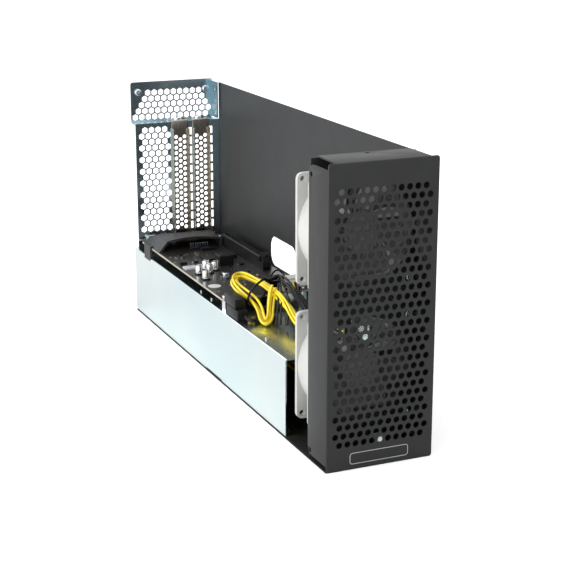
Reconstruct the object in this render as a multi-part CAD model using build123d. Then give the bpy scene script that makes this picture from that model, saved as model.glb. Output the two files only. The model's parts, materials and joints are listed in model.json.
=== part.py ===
from build123d import *
import math
import os

# Enclosure for one graphics card, with its outer cover taken off. Millimetres.
# The origin is at the middle of the footprint: X to the right, Y to the rear, Z up.
# The perforated front panel faces -Y and the open side faces -X.

# Overall case
width = 82.5
depth = 426.0
height = 216.0
gauge = 1.0
bend = 1.6
lap = 0.1

# Perforated front panel
flange_depth = 31.0
panel_corner = 2.0
vent_across = 6.27
vent_up = 6.33
vent_hole = 4.4
vent_fullness = 1.12
vent_rows = 29
vent_short_row = 11
vent_low = 19.2
flange_inset = 4.5
flange_corner = 7.0
flange_top_gap = 6.0
flange_screw_back = 27.0
flange_screw_high = 204.6
flange_screw_low = 8.0
screw_hole = 3.4

# Screws
screw = 3.0
screw_head = 6.0
screw_head_tall = 2.0

# Black side wall and floor
wall_height = 213.5
wall_short = 13.5
wall_step_up = 62.5
window_near = 235.0
window_long = 56.0
window_low = 70.0
window_tall = 26.0
window_corner = 10.0

# Plated tray that covers the power supply and carries the board
tray_front = 70.0
tray_top = 61.0
tray_foot = 10.0
tray_lip = 8.0
tray_lip_near = 96.0
tray_lip_back = 300.0
relief_near = 200.0
relief_long = 35.0
relief_deep = 2.0
past_bend = 2.2

# Rear panel
recess = 12.0
shelf_up = 179.6
rear_foot = 10.0
hex_pitch = 6.33
hex_row = 5.45
hex_across = 5.3
hex_rows = 18
hex_long_row = 5
hex_low = 80.6
hex_left = 5.7
crown_pitch = 6.2
crown_row = 5.53
crown_low = 183.7
crown_left = 4.0
crown_counts = (12, 12, 11, 10, 9)
crown_corner = 2.5
side_tab = 15.0
side_tab_low = 181.0
side_tab_high = 214.0
plate_screw_in = 6.9
plate_screw_down = 9.2

# Expansion slots
slot_pitch = 20.32
slot_right = 62.9
slot_count = 2
slot_opening = 14.0
slot_opening_low = 66.0
slot_opening_high = 177.0
bracket_wide = 15.8
bracket_gauge = 0.9
bracket_low = 62.6
bracket_flange = 4.6
bracket_flange_low = 74.0
bracket_flange_high = 173.0
cover_hole = 3.7
cover_across = 4.1
cover_up = 5.03
cover_rows = 18
cover_low = 79.9
rail_slot_wide = 3.4
rail_slot_tall = 6.9
rail_pitch = 8.9
rail_count = 11
rail_low = 81.0

# Front fans
fan_size = 80.0
fan_deep = 25.0
fan_pitch = 71.5
fan_flange = 3.6
fan_bore = 76.0
fan_barrel = 79.0
fan_hole = 4.4
fan_low = 61.5
fan_high = 160.5
fan_hub = 30.0
fan_arm = 5.0
fan_arm_deep = 3.0
fan_blades = 7
blade_gap = 1.0
running_gap = 0.4
shaft = 3.0
shaft_fit = 0.05
fan_to_wall = 0.3
fan_facets = 36
blade_thick = 1.4
blade_turn = 35.0
fan_front_gap = 1.0
fan_screw_long = 6.0

# Tabs and press nuts for the outer cover's screws
tab_wide = 8.0
nut_across = 6.0
nut_tall = 2.0

# Power supply in the tray
supply_long = 210.0
supply_wide = 76.0
supply_tall = 56.0
supply_left = 2.0
supply_fan = 50.0
supply_fan_deep = 15.0
supply_fan_pitch = 40.0
supply_fan_bore = 46.0
supply_fan_x = 50.0
supply_fan_z = 30.5
supply_hub = 22.0
supply_flange = 3.0
supply_barrel = 2.4
supply_arm = 3.0
supply_arm_deep = 2.0
supply_blades = 7
guard_rings = ((6.0, 13.5), (15.5, 23.0))
guard_sectors = 8
guard_web = 2.2
inlet_wide = 20.0
inlet_tall = 27.6
inlet_x = 13.5
inlet_pin_wide = 4.0
inlet_pin_thick = 2.0
inlet_pin_long = 11.0
inlet_pin_pitch = 7.0
inlet_cavity_deep = 16.0
inlet_deep = 21.0
inlet_rim = 1.6
pocket_fit = 0.15

# Main board
board_long = 209.0
board_to_panel = 5.0
board_left = 2.0
board_wide = 76.0
board_thick = 1.6
standoff = 8.0
standoff_across = 5.5
board_screws_front = ((6.0, 4.0), (74.0, 4.0), (31.0, 69.0))
board_screws_back = ((20.0, 17.0), (74.0, 13.0))
board_screw_hole = 3.2

# Card connector with its latch
card_x = 68.5
card_to_panel = 49.0
card_long = 89.0
card_wide = 7.6
card_tall = 11.2
card_groove = 1.8
card_groove_deep = 8.2
card_key_from_back = 12.5
card_key = 1.9
ear_long = 8.0
ear_thick = 1.2
ear_tall = 7.0
latch_side_gap = 0.15
latch_tall = 15.0
latch_pin = 2.0
latch_pin_fit = 0.05
latch_pivot_up = 3.4
latch_pivot_near = 4.2

# Hood over the rear ports
hood_long = 48.0
hood_wall = 1.5
hood_left_low = 2.2
hood_left_top = 10.4
hood_right = 63.0
hood_front_top = 80.5
hood_back_top = 76.0
hood_arch = 3.0
hood_leg_in = 19.0
hood_leg_long = 17.0
hood_leg_low = 58.5

# Parts on the board, each placed from the board's front edge
choke_place = (35.8, 96.0)
choke_size = (13.3, 12.0, 9.2)
choke_edge = 0.8
chip_boxes = ((5.0, 96.0, 11.0, 9.0, 1.2), (6.0, 113.0, 6.0, 5.0, 2.4), (40.0, 152.0, 14.0, 5.0, 2.6),
              (30.0, 118.0, 12.0, 12.0, 1.4), (52.0, 118.0, 9.0, 14.0, 3.0))
can = 6.3
can_tall = 7.7
can_spots = ((11.0, 80.0), (10.5, 62.0), (20.5, 80.0), (21.5, 92.0), (28.0, 86.5))

# Rear ports
port_count = 2
port_first = 12.0
port_pitch = 13.0
port_wide = 9.6
port_tall = 3.8
port_deep = 6.2
port_fit = 0.2
port_wall = 0.4
port_tongue = 0.7

# Plugs and sockets
plug_size = (9.0, 24.0, 8.0)
card_plug_x = 2.5
plug_in_front = 30.0
plug_step = 5.0
plug_edge = 0.8
black_plug_size = (10.0, 12.0, 12.0)
black_plug_x = 42.0
black_plug_in = 6.0
plug_out = 6.0
socket_wall = 1.0
socket_wide = 18.0
socket_tall = 10.0
socket_long = 11.0
socket_x = 61.5
socket_in = 3.0

# Light pipe in the front panel
light_pipe = 3.3
light_pipe_long = 5.0

# Wires, as bundles
bundle = 6.6
black_bundle = 6.0
board_bundle = 8.0
thin_bundle = 4.0
tie = 2.0
gland_x = 42.0
gland_z = 29.0
gland = 44.0
gland_long = 4.0
gland_tall = 18.0

left = -width / 2
front = -depth / 2
inner_right = width - gauge
lip_right = inner_right - lap
bezel_inner_right = lip_right - gauge
recess_face = depth - recess
plate_right = lip_right - 2.0
bracket_screw_back = depth - 5.5
board_under = tray_top + standoff
board_top = board_under + board_thick
board_back = recess_face - board_to_panel
board_near = board_back - board_long
wall_back = depth - wall_short
fan_x = inner_right - fan_to_wall - fan_size / 2
port_up = board_top + port_tall / 2
hood_near = board_back - hood_long
hood_leg_near = hood_near + hood_leg_in
hood_back = recess_face - gauge - bracket_flange - 1.0
card_near = recess_face - card_to_panel - card_long
socket_near = board_near + socket_in
card_plug_near = board_near - plug_in_front
latch_y = card_near - latch_pivot_near
latch_z = board_top + latch_pivot_up
light_place = (width / 2, vent_low)
board_screws = [(x, board_near + y) for x, y in board_screws_front]
board_screws += [(x, board_back - y) for x, y in board_screws_back]
supply_front = depth - gauge - supply_long
supply_floor = 2 * gauge
supply_fan_middle = supply_left + supply_fan_x
inlet_left = supply_left + inlet_x - inlet_wide / 2
inlet_floor = supply_fan_z - inlet_tall / 2


def at(x, y, z):
    """A place given from the left side, the front face and the floor."""
    return Pos(left + x, front + y, z)


def slab(x0, x1, y0, y1, z0, z1):
    size = Box(x1 - x0, y1 - y0, z1 - z0, align=(Align.MIN, Align.MIN, Align.MIN))
    return at(x0, y0, z0) * size


def rod_along_y(x, y0, y1, z, radius):
    return prism_along_y(Pos(left + x, z) * Circle(radius), y0, y1)


def prism_along_y(sketch, y0, y1):
    """A sketch drawn in X and Z, as seen from the front, pushed rearwards from y0 to y1."""
    return extrude(Plane.XZ * sketch, -(y1 - y0)).moved(Pos(0, front + y0, 0))


def prism_along_x(sketch, x0, x1):
    """A sketch drawn in Y and Z pushed to the right from x0 to x1."""
    return extrude(Plane.YZ * sketch, x1 - x0).moved(Pos(left + x0, 0, 0))


def prism_along_z(sketch, z0, z1):
    return extrude(sketch, z1 - z0).moved(Pos(0, 0, z0))


def rod_along_x(x0, x1, y, z, radius):
    return prism_along_x(Pos(front + y, z) * Circle(radius), x0, x1)


def rod_along_z(x, y, z0, z1, radius):
    return prism_along_z(Pos(left + x, front + y) * Circle(radius), z0, z1)


def folded_strip(points, thickness, radius=bend):
    """The edge-on outline of a folded sheet whose one face follows the points."""
    path = FilletPolyline(*points, radius=radius)
    outline = path.wire().offset_2d(thickness, side=Side.LEFT, closed=True)
    return make_face(outline.edges())


def one_solid(shape):
    """The plain solid of a boolean result that left a single piece."""
    return shape.solids()[0] if len(shape.solids()) == 1 else shape


def with_holes(face, sketches):
    """A flat face with every sketch cut out of it at once."""
    return face.make_holes([sketch.wire() for sketch in sketches])


def staggered(rows, short_row, pitch, row_pitch, x_middle, z_low):
    """Centres of a staggered pattern whose even rows have one hole more."""
    for row in range(rows):
        count = short_row + row % 2
        for column in range(count):
            yield x_middle + (column - (count - 1) / 2) * pitch, z_low + row * row_pitch


# Perforated front panel
def vent_places():
    return staggered(vent_rows, vent_short_row, vent_across, vent_up, 0, vent_low)


def make_front_bezel():
    hole = RegularPolygon(vent_hole / 2 * vent_fullness, 4, rotation=45)
    outline = Pos(0, height / 2) * RectangleRounded(width, height, panel_corner)
    holes = [Pos(x, z) * hole for x, z in vent_places()]
    face = prism_along_y(with_holes(outline.face(), holes), 0, gauge)

    side_profile = Pos(front + (gauge + flange_depth) / 2, height / 2)
    side_profile *= Rectangle(flange_depth - gauge, height - 2 * flange_inset)
    rear_corners = side_profile.vertices().group_by(Axis.X)[-1]
    side_profile = fillet(rear_corners, flange_corner)
    for z in (flange_screw_low, flange_screw_high):
        side_profile -= Pos(front + flange_screw_back, z) * Circle(screw_hole / 2)
    left_flange = prism_along_x(side_profile, 0, gauge)
    right_flange = prism_along_x(side_profile, bezel_inner_right, bezel_inner_right + gauge)
    top_outline = Pos(0, front + (gauge + flange_depth) / 2)
    top_outline *= Rectangle(width - 2 * flange_top_gap, flange_depth - gauge)
    low_flange = prism_along_z(top_outline, gauge + lap, 2 * gauge + lap)
    top_outline -= Pos(0, front + flange_screw_back) * Circle(screw_hole / 2)
    top_flange = prism_along_z(top_outline, height - gauge, height)
    return one_solid(face.fuse(left_flange, right_flange, top_flange, low_flange))


# Black wall and floor, one folded sheet
def make_base_shell():
    strip = folded_strip([(left, 0), (left + width, 0), (left + width, wall_height)], gauge)
    shell = prism_along_y(strip, gauge, depth - gauge - lap)
    shell -= slab(inner_right - bend, width + 1, wall_back, depth, wall_step_up, wall_height + 1)
    window = Pos(front + window_near + window_long / 2, window_low + window_tall / 2)
    window *= RectangleRounded(window_long, window_tall, window_corner)
    shell -= prism_along_x(window, inner_right - 1, width + 1)
    for z in (flange_screw_low, flange_screw_high):
        shell -= rod_along_x(inner_right - 1, width + 1, flange_screw_back, z, screw_hole / 2)
    return one_solid(shell)


# Plated tray, one folded sheet
def make_tray():
    points = [(left + lip_right, tray_top), (left, tray_top), (left, gauge), (left + tray_foot, gauge)]
    tray = prism_along_y(folded_strip(points, gauge), tray_front, depth - gauge)
    tray += slab(lip_right - gauge, lip_right, tray_lip_near, tray_lip_back, tray_top, tray_top + tray_lip)
    tray += slab(past_bend, lip_right, depth - gauge, depth, gauge, tray_top)
    tray -= slab(-1, past_bend, relief_near, relief_near + relief_long, 0, gauge + relief_deep)
    leg_back = hood_leg_near + hood_leg_long + lap
    tray -= slab(-1, past_bend, hood_leg_near - lap, leg_back, hood_leg_low - lap, tray_top + 1)
    inlet_right = inlet_left + inlet_wide
    tray -= slab(inlet_left, inlet_right, depth - 2, depth + 1, inlet_floor, inlet_floor + inlet_tall)
    middle = Pos(left + supply_fan_middle, supply_fan_z)
    for inner, outer in guard_rings:
        for k in range(guard_sectors):
            tray -= prism_along_y(middle * guard_slot(inner, outer, k), depth - 2, depth + 1)
    for x, z in corner_places(supply_fan_middle, supply_fan_z, supply_fan_pitch):
        tray -= prism_along_y(Pos(left + x, z) * RegularPolygon(screw_head / 2, 8), depth - 2, depth + 1)
    for x, y in board_screws:
        tray -= rod_along_z(x, y, tray_top - 2, tray_top + 1, screw_hole / 2)
    return one_solid(tray)


def guard_slot(inner, outer, k):
    """One sector of the vent in front of the power supply's fan."""
    turn = 360 / guard_sectors
    half = math.radians(turn / 2)
    web = guard_web / 2
    near = half - math.asin(web / inner)
    far = half - math.asin(web / outer)
    polar = ((inner, -near), (outer, -far), (outer, 0), (outer, far), (inner, near))
    corners = [(r * math.cos(a), r * math.sin(a)) for r, a in polar]
    return Rotation(0, 0, (k + 0.5) * turn) * make_face(Polyline(*corners, close=True).edges())


def corner_places(x, z, pitch):
    return [(x + i * pitch / 2, z + k * pitch / 2) for i in (-1, 1) for k in (-1, 1)]


# Rear panel: foot, recessed face, shelf and upper plate folded from one sheet
def hexagon():
    return RegularPolygon(hex_across / 2, 6, major_radius=False, rotation=30)


def hex_places():
    for row in range(hex_rows):
        count = hex_long_row - row % 2
        shift = row % 2 * hex_pitch / 2
        for column in range(count):
            yield hex_left + shift + column * hex_pitch, hex_low + row * hex_row


def crown_places():
    for row, count in enumerate(crown_counts):
        for column in range(count):
            x = crown_left + (row / 2 + column) * crown_pitch
            yield x, crown_low + row * crown_row


def slot_middles():
    return [slot_right - k * slot_pitch for k in range(slot_count)]


def make_rear_panel():
    recessed = Pos(0, (tray_top + shelf_up) / 2) * Rectangle(2 * width, shelf_up - tray_top)
    recessed &= Pos(left + lip_right / 2, height / 2) * Rectangle(lip_right, height)
    holes = [Pos(left + x, z) * hexagon() for x, z in hex_places()]
    slot_tall = slot_opening_high - slot_opening_low
    for x in slot_middles():
        middle = Pos(left + x, slot_opening_low + slot_tall / 2)
        holes.append(middle * RectangleRounded(slot_opening, slot_tall, 1))
        for k in range(rail_count):
            place = Pos(left + x + slot_pitch / 2, rail_low + k * rail_pitch)
            holes.append(place * Rectangle(rail_slot_wide, rail_slot_tall))
    for x in port_places():
        holes.append(Pos(left + x, port_up) * RectangleRounded(port_wide, port_tall, port_tall / 2 - 0.1))
    face = prism_along_y(with_holes(recessed.face(), holes), recess_face - gauge, recess_face)

    plate_low = shelf_up - gauge
    plate = Pos(left + plate_right / 2, (plate_low + height) / 2) * Rectangle(plate_right, height - plate_low)
    plate = fillet(plate.vertices().group_by(Axis.Y)[-1].sort_by(Axis.X)[0], crown_corner)
    holes = [Pos(left + x, z) * hexagon() for x, z in crown_places()]
    screw_up = height - plate_screw_down
    for x in (plate_screw_in, plate_right - plate_screw_in):
        holes.append(Pos(left + x, screw_up) * Circle(screw_hole / 2))
    plate = prism_along_y(with_holes(plate.face(), holes), depth - gauge, depth)

    foot = slab(0, lip_right, recess_face - rear_foot, recess_face - gauge, tray_top, tray_top + gauge)
    shelf = slab(0, lip_right, recess_face, depth - gauge, shelf_up - gauge, shelf_up)
    for x in slot_middles():
        shelf -= rod_along_z(x, bracket_screw_back, shelf_up - 2, shelf_up + 1, screw_hole / 2)
    tab_middle = Pos(front + depth - gauge - side_tab / 2, (side_tab_low + side_tab_high) / 2)
    tab = tab_middle * Rectangle(side_tab, side_tab_high - side_tab_low)
    for z in (side_tab_low + 4, side_tab_high - 6.5):
        tab -= Pos(front + depth - side_tab + 5, z) * Circle(screw_hole / 2)
    tab = prism_along_x(tab, plate_right - gauge, plate_right)
    return one_solid(face.fuse(plate, foot, shelf, tab))


# Blank brackets that close the expansion slots
def cover_holes(x):
    """Centres of the staggered vent in a slot cover, the middle column half a step higher."""
    for row in range(cover_rows):
        for side in (-1, 0, 1):
            yield x + side * cover_across, cover_low + (row + (side == 0) / 2) * cover_up


def make_slot_cover(x):
    half = bracket_wide / 2
    y = recess_face - gauge
    top = shelf_up + bracket_gauge
    outline = Pos(left + x, (bracket_low + top) / 2) * Rectangle(bracket_wide, top - bracket_low)
    holes = [Pos(left + u, v) * RegularPolygon(cover_hole / 2, 6) for u, v in cover_holes(x)]
    cover = prism_along_y(with_holes(outline.face(), holes), y - bracket_gauge, y)
    lip = slab(x - half, x + half, y, depth - gauge - lap, shelf_up, top)
    cover += lip - rod_along_z(x, bracket_screw_back, shelf_up - 1, top + 1, screw_hole / 2)
    sides = Pos(front + y - bracket_flange / 2, (bracket_flange_low + bracket_flange_high) / 2)
    sides *= Rectangle(bracket_flange, bracket_flange_high - bracket_flange_low)
    for edge in (x - half, x + half - bracket_gauge):
        cover += prism_along_x(sides, edge, edge + bracket_gauge)
    return one_solid(cover)


# Front fan: square frame with a round barrel, four arms and a bearing
def square_fan_frame(size, deep, bore, barrel, hole_pitch, hole, flange, hub, arm, arm_deep, bearing):
    plate = RectangleRounded(size, size, size * 0.05)
    for x, z in corner_places(0, 0, hole_pitch):
        plate -= Pos(x, z) * RegularPolygon(hole / 2, 8)
    ring = plate - RegularPolygon(bore / 2, fan_facets, major_radius=False)
    tube = RegularPolygon(barrel / 2, fan_facets, major_radius=False)
    tube -= RegularPolygon(bore / 2, fan_facets, major_radius=False)
    frame = extrude(ring, flange)
    frame += Pos(0, 0, deep - flange) * extrude(ring, flange)
    frame += Pos(0, 0, flange) * extrude(tube, deep - 2 * flange)
    arms = Rectangle(bore + 1, arm) + Rectangle(arm, bore + 1)
    arms += Circle(hub / 2)
    arms -= Circle(bearing / 2)
    frame += Pos(0, 0, deep - arm_deep) * extrude(arms, arm_deep)
    return one_solid(frame)


def fan_rotor(bore, hub, deep, blades, axle, axle_long, pitch_turn):
    """A hub cup with curved blades and its axle, spinning about Z."""
    rotor = Cylinder(hub / 2, deep, align=(Align.CENTER, Align.CENTER, Align.MIN))
    tip = bore / 2 - blade_gap
    chord = 2 * math.pi * tip / blades * 0.72
    arc = ThreePointArc((-chord / 2, 0), (0, chord * 0.12), (chord / 2, 0))
    section = make_face(arc.edge().offset_2d(blade_thick, side=Side.LEFT, closed=True).edges())
    reach = Cylinder(tip, 3 * deep)
    for k in range(blades):
        blade = Plane.XZ * Pos(0, deep / 2) * Rotation(0, 0, pitch_turn) * section
        blade = extrude(blade, -(tip + 2)) & reach
        rotor += Rotation(0, 0, 360 / blades * k) * blade
    rotor += Cylinder(axle / 2, deep + axle_long, align=(Align.CENTER, Align.CENTER, Align.MIN))
    return one_solid(rotor)


def facing_rear(part, x, y, z):
    """A part drawn along Z laid down so that its Z end points to the rear."""
    return at(x, y, z) * Rotation(-90, 0, 0) * part


# Plate behind the front panel that carries both fans, with folded tabs for the cover screws
def fan_places():
    return [(fan_x, fan_low), (fan_x, fan_high)]


def cover_screw_places():
    return [(flange_screw_back, flange_screw_low), (flange_screw_back, flange_screw_high)]


def make_fan_plate():
    x0 = gauge + lap
    x1 = bezel_inner_right - lap
    z0 = 2 * gauge + 2 * lap
    z1 = height - gauge - lap
    outline = Pos(left + (x0 + x1) / 2, (z0 + z1) / 2) * Rectangle(x1 - x0, z1 - z0)
    holes = []
    for x, z in fan_places():
        ring = RegularPolygon(fan_bore / 2, fan_facets, major_radius=False)
        holes.append(Pos(left + x, z) * ring)
        for u, v in corner_places(x, z, fan_pitch):
            holes.append(Pos(left + u, v) * RegularPolygon(screw_hole / 2, 8))
    plate = prism_along_y(with_holes(outline.face(), holes), flange_depth - gauge, flange_depth)
    for y, z in cover_screw_places():
        for x in (x0, x1 - gauge):
            low = max(z0, z - tab_wide / 2)
            tab = slab(x, x + gauge, y - tab_wide / 2, flange_depth - gauge, low, z + tab_wide / 2)
            plate += tab - rod_along_x(x - 1, x + gauge + 1, y, z, screw_hole / 2)
    top = slab(width / 2 - tab_wide, width / 2 + tab_wide, flange_screw_back - tab_wide / 2,
               flange_depth - gauge, z1 - gauge, z1)
    plate += top - rod_along_z(width / 2, flange_screw_back, z1 - 2, z1 + 1, screw_hole / 2)
    return one_solid(plate)


def make_cover_nuts():
    """Press nuts behind the flange holes, where the outer cover is screwed on."""
    ring = RegularPolygon(nut_across / 2, 8) - Circle(screw_hole / 2)
    x_left = 2 * gauge + lap
    x_right = bezel_inner_right - lap - gauge
    nuts = []
    for y, z in cover_screw_places():
        nuts.append(prism_along_x(Pos(front + y, z) * ring, x_left, x_left + nut_tall))
        nuts.append(prism_along_x(Pos(front + y, z) * ring, x_right - nut_tall, x_right))
    top = height - 2 * gauge - lap
    nuts.append(prism_along_z(Pos(0, front + flange_screw_back) * ring, top - nut_tall, top))
    return nuts


# Front fans
def make_fan_frame(z):
    frame = square_fan_frame(fan_size, fan_deep, fan_bore, fan_barrel, fan_pitch, fan_hole,
                             fan_flange, fan_hub, fan_arm, fan_arm_deep, shaft + 2 * shaft_fit)
    return facing_rear(frame, fan_x, flange_depth, z)


def make_fan_rotor(z):
    deep = fan_deep - fan_arm_deep - running_gap - fan_front_gap
    rotor = fan_rotor(fan_bore, fan_hub, deep, fan_blades, shaft, running_gap + fan_arm_deep, blade_turn)
    return facing_rear(rotor, fan_x, flange_depth + fan_front_gap, z)


def make_fan_screws():
    y = flange_depth - gauge
    screws = []
    for x, z in fan_places():
        for u, v in corner_places(x, z, fan_pitch):
            screws.append(plain_screw_to_rear(u, y, v, gauge + fan_screw_long))
    return screws


def plain_screw_to_rear(x, y, z, long):
    """A pan head in front of a face at y and its shank going rearwards."""
    head = prism_along_y(Pos(left + x, z) * RegularPolygon(screw_head / 2, 8), y - screw_head_tall, y)
    shank = prism_along_y(Pos(left + x, z) * RegularPolygon(screw / 2, 6), y, y + long)
    return one_solid(head + shank)


def plain_screw_down(x, y, z, long):
    head = prism_along_z(Pos(left + x, front + y) * RegularPolygon(screw_head / 2, 8), z, z + screw_head_tall)
    shank = prism_along_z(Pos(left + x, front + y) * RegularPolygon(screw / 2, 6), z - long, z)
    return one_solid(head + shank)


def make_plate_screws():
    z = height - plate_screw_down
    xs = (plate_screw_in, plate_right - plate_screw_in)
    return [plain_screw_to_rear(x, depth - gauge, z, gauge) for x in xs]


def make_bracket_screws():
    z = shelf_up + bracket_gauge
    return [plain_screw_down(x, bracket_screw_back, z, bracket_gauge + 3 * gauge) for x in slot_middles()]


# Power supply with its own fan and mains inlet
def make_supply_case():
    back = depth - gauge
    right = supply_left + supply_wide
    case = slab(supply_left, right, supply_front, back, supply_floor, supply_floor + supply_tall)
    case = fillet(case.edges().filter_by(Axis.Y), 1.2)
    half = supply_fan / 2 + pocket_fit
    x = supply_fan_middle
    z = supply_fan_z
    case -= slab(x - half, x + half, back - supply_fan_deep - pocket_fit, back + 1, z - half, z + half)
    inlet_right = inlet_left + inlet_wide
    case -= slab(inlet_left, inlet_right, back - inlet_deep, back + 1, inlet_floor, inlet_floor + inlet_tall)
    return one_solid(case)


def make_supply_fan_frame():
    frame = square_fan_frame(supply_fan, supply_fan_deep, supply_fan_bore, supply_fan_bore + supply_barrel,
                             supply_fan_pitch, fan_hole, supply_flange, supply_hub, supply_arm,
                             supply_arm_deep, shaft + 2 * shaft_fit)
    place = at(supply_fan_middle, depth - gauge, supply_fan_z)
    return place * Rotation(90, 0, 0) * frame


def make_supply_fan_rotor():
    deep = supply_fan_deep - supply_arm_deep - running_gap - fan_front_gap
    axle_long = running_gap + supply_arm_deep
    rotor = fan_rotor(supply_fan_bore, supply_hub, deep, supply_blades, shaft, axle_long, blade_turn)
    place = at(supply_fan_middle, depth - gauge - fan_front_gap, supply_fan_z)
    return place * Rotation(90, 0, 0) * rotor


def make_supply_screws():
    """Flat heads sit flush in the tray's rear wall."""
    screws = []
    for x, z in corner_places(supply_fan_middle, supply_fan_z, supply_fan_pitch):
        head = prism_along_y(Pos(left + x, z) * RegularPolygon(screw_head / 2, 8), depth - gauge, depth)
        shank = prism_along_y(Pos(left + x, z) * RegularPolygon(screw / 2, 6), depth - 4 * gauge, depth - gauge)
        screws.append(one_solid(head + shank))
    return screws


def make_mains_inlet():
    """Three-pin inlet standing upright, its mouth flush with the tray's rear wall."""
    x = left + inlet_left + inlet_wide / 2
    middle = Pos(x, supply_fan_z)
    body = prism_along_y(middle * Rectangle(inlet_wide, inlet_tall), depth - inlet_deep, depth)
    cavity = middle * Rectangle(inlet_wide - 2 * inlet_rim, inlet_tall - 2 * inlet_rim)
    corner = cavity.vertices().group_by(Axis.X)[-1]
    cavity = chamfer(corner, 4.5)
    body -= prism_along_y(cavity, depth - inlet_cavity_deep, depth + 1)
    for k, shift in ((-1, 0), (0, 2.0), (1, 0)):
        pin = Pos(x + shift, supply_fan_z + k * inlet_pin_pitch) * Rectangle(inlet_pin_wide, inlet_pin_thick)
        start = depth - inlet_cavity_deep
        body += prism_along_y(pin, start, start + inlet_pin_long)
    return one_solid(body)


# Main board on its standoffs
def make_board():
    outline = Pos(left + board_left + board_wide / 2, front + board_near + board_long / 2)
    outline *= Rectangle(board_wide, board_long)
    outline = chamfer(outline.vertices(), 1.0)
    for x, y in board_screws:
        outline -= Pos(left + x, front + y) * Circle(board_screw_hole / 2)
    return prism_along_z(outline, board_under, board_top).solids()[0]


def make_standoffs():
    post = RegularPolygon(standoff_across / 2, 6, major_radius=False)
    return [prism_along_z(Pos(left + x, front + y) * post, tray_top, board_under) for x, y in board_screws]


def make_board_screws():
    return [plain_screw_down(x, y, board_top, board_thick) for x, y in board_screws]


def make_card_slot():
    """Long edge connector: a grooved body with a key rib and two ears that hold the latch."""
    x0 = card_x - card_wide / 2
    x1 = card_x + card_wide / 2
    y1 = card_near + card_long
    body = slab(x0, x1, card_near, y1, board_top, board_top + card_tall)
    body = chamfer(body.edges().filter_by(Axis.Y).group_by(Axis.Z)[-1], 0.8)
    half = card_groove / 2
    groove_floor = board_top + card_tall - card_groove_deep
    key = y1 - card_key_from_back
    top = board_top + card_tall + 1
    body -= slab(card_x - half, card_x + half, card_near - 1, key - card_key, groove_floor, top)
    body -= slab(card_x - half, card_x + half, key, y1 - 2, groove_floor, top)
    for ear in (x0, x1 - ear_thick):
        lug = slab(ear, ear + ear_thick, card_near - ear_long, card_near, board_top, board_top + ear_tall)
        hole = rod_along_x(ear - 1, ear + ear_thick + 1, latch_y, latch_z, latch_pin / 2 + latch_pin_fit)
        body += lug - hole
    return one_solid(body)


def make_slot_latch():
    """Lever with a hooked nose over the slot and a thumb rest, on stub pins in the slot's ears."""
    half = card_wide / 2 - ear_thick - latch_side_gap
    y0 = front + card_near - ear_long
    y1 = front + card_near - running_gap
    z0 = board_top + 0.6
    z1 = board_top + latch_tall
    corners = [(y0 + 2.4, z0), (y1 - 1.8, z0), (y1, z0 + 4), (y1, z1 - 3.4), (y1 + 2.2, z1 - 2.2),
               (y1 + 2.2, z1 - 1), (y1 - 2, z1), (y0 - 2.5, z1), (y0 - 2.5, z1 - 1.6), (y0 + 1.4, z1 - 3.4),
               (y0 + 1.4, z0 + 2)]
    lever = prism_along_x(make_face(Polyline(*corners, close=True).edges()), card_x - half, card_x + half)
    ear_face = card_wide / 2
    lever += rod_along_x(card_x - ear_face, card_x + ear_face, latch_y, latch_z, latch_pin / 2)
    return one_solid(lever)


# Parts on the board
def make_controller_block():
    """Tall moulded choke beside the controller."""
    x, y = choke_place
    wide, long, tall = choke_size
    near = board_near + y
    block = slab(x, x + wide, near, near + long, board_top, board_top + tall)
    return fillet(block.edges().group_by(Axis.Z)[-1] + block.edges().filter_by(Axis.Z), choke_edge)


def make_chips():
    chips = []
    for x, y, wide, long, tall in chip_boxes:
        near = board_near + y
        chips.append(slab(x, x + wide, near, near + long, board_top, board_top + tall))
    return chips


def make_cans():
    """Upright can capacitors."""
    body = RegularPolygon(can / 2, 12)
    places = [Pos(left + x, front + board_near + y) for x, y in can_spots]
    return [prism_along_z(place * body, board_top, board_top + can_tall) for place in places]


def port_places():
    return [port_first + k * port_pitch for k in range(port_count)]


def rounded_slot(wide, tall):
    return RectangleRounded(wide, tall, tall / 2 - 0.05)


def make_ports():
    """Flat reversible sockets that reach into the rear panel."""
    ports = []
    for x in port_places():
        shell = Pos(left + x, port_up) * rounded_slot(port_wide - 2 * port_fit, port_tall - 2 * port_fit)
        inset = 2 * (port_fit + port_wall)
        mouth = Pos(left + x, port_up) * rounded_slot(port_wide - inset, port_tall - inset)
        tongue = Pos(left + x, port_up) * Rectangle(port_wide - 3.4, port_tongue)
        port = prism_along_y(shell, recess_face - port_deep, recess_face)
        port -= prism_along_y(mouth, recess_face - port_deep + 1.5, recess_face + 1)
        port += prism_along_y(tongue, recess_face - port_deep + 1, recess_face - 1)
        half = port_wide / 2 - 1.5
        foot_top = port_up - port_tall / 2 + 2 * port_fit
        foot = slab(x - half, x + half, recess_face - port_deep, board_back, board_top, foot_top)
        ports.append(one_solid(port + foot))
    return ports


def make_board_socket():
    """Pale power socket at the front of the board with its plug's mouth facing forward."""
    x0 = socket_x - socket_wide / 2
    x1 = x0 + socket_wide
    body = slab(x0, x1, socket_near, socket_near + socket_long, board_top, board_top + socket_tall)
    mouth_back = socket_near + socket_long - plug_out + lap
    body -= slab(x0 + socket_wall, x0 + socket_wide - socket_wall, socket_near - 1, mouth_back,
                 board_top + socket_wall, board_top + socket_tall - socket_wall)
    return one_solid(body)


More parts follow.
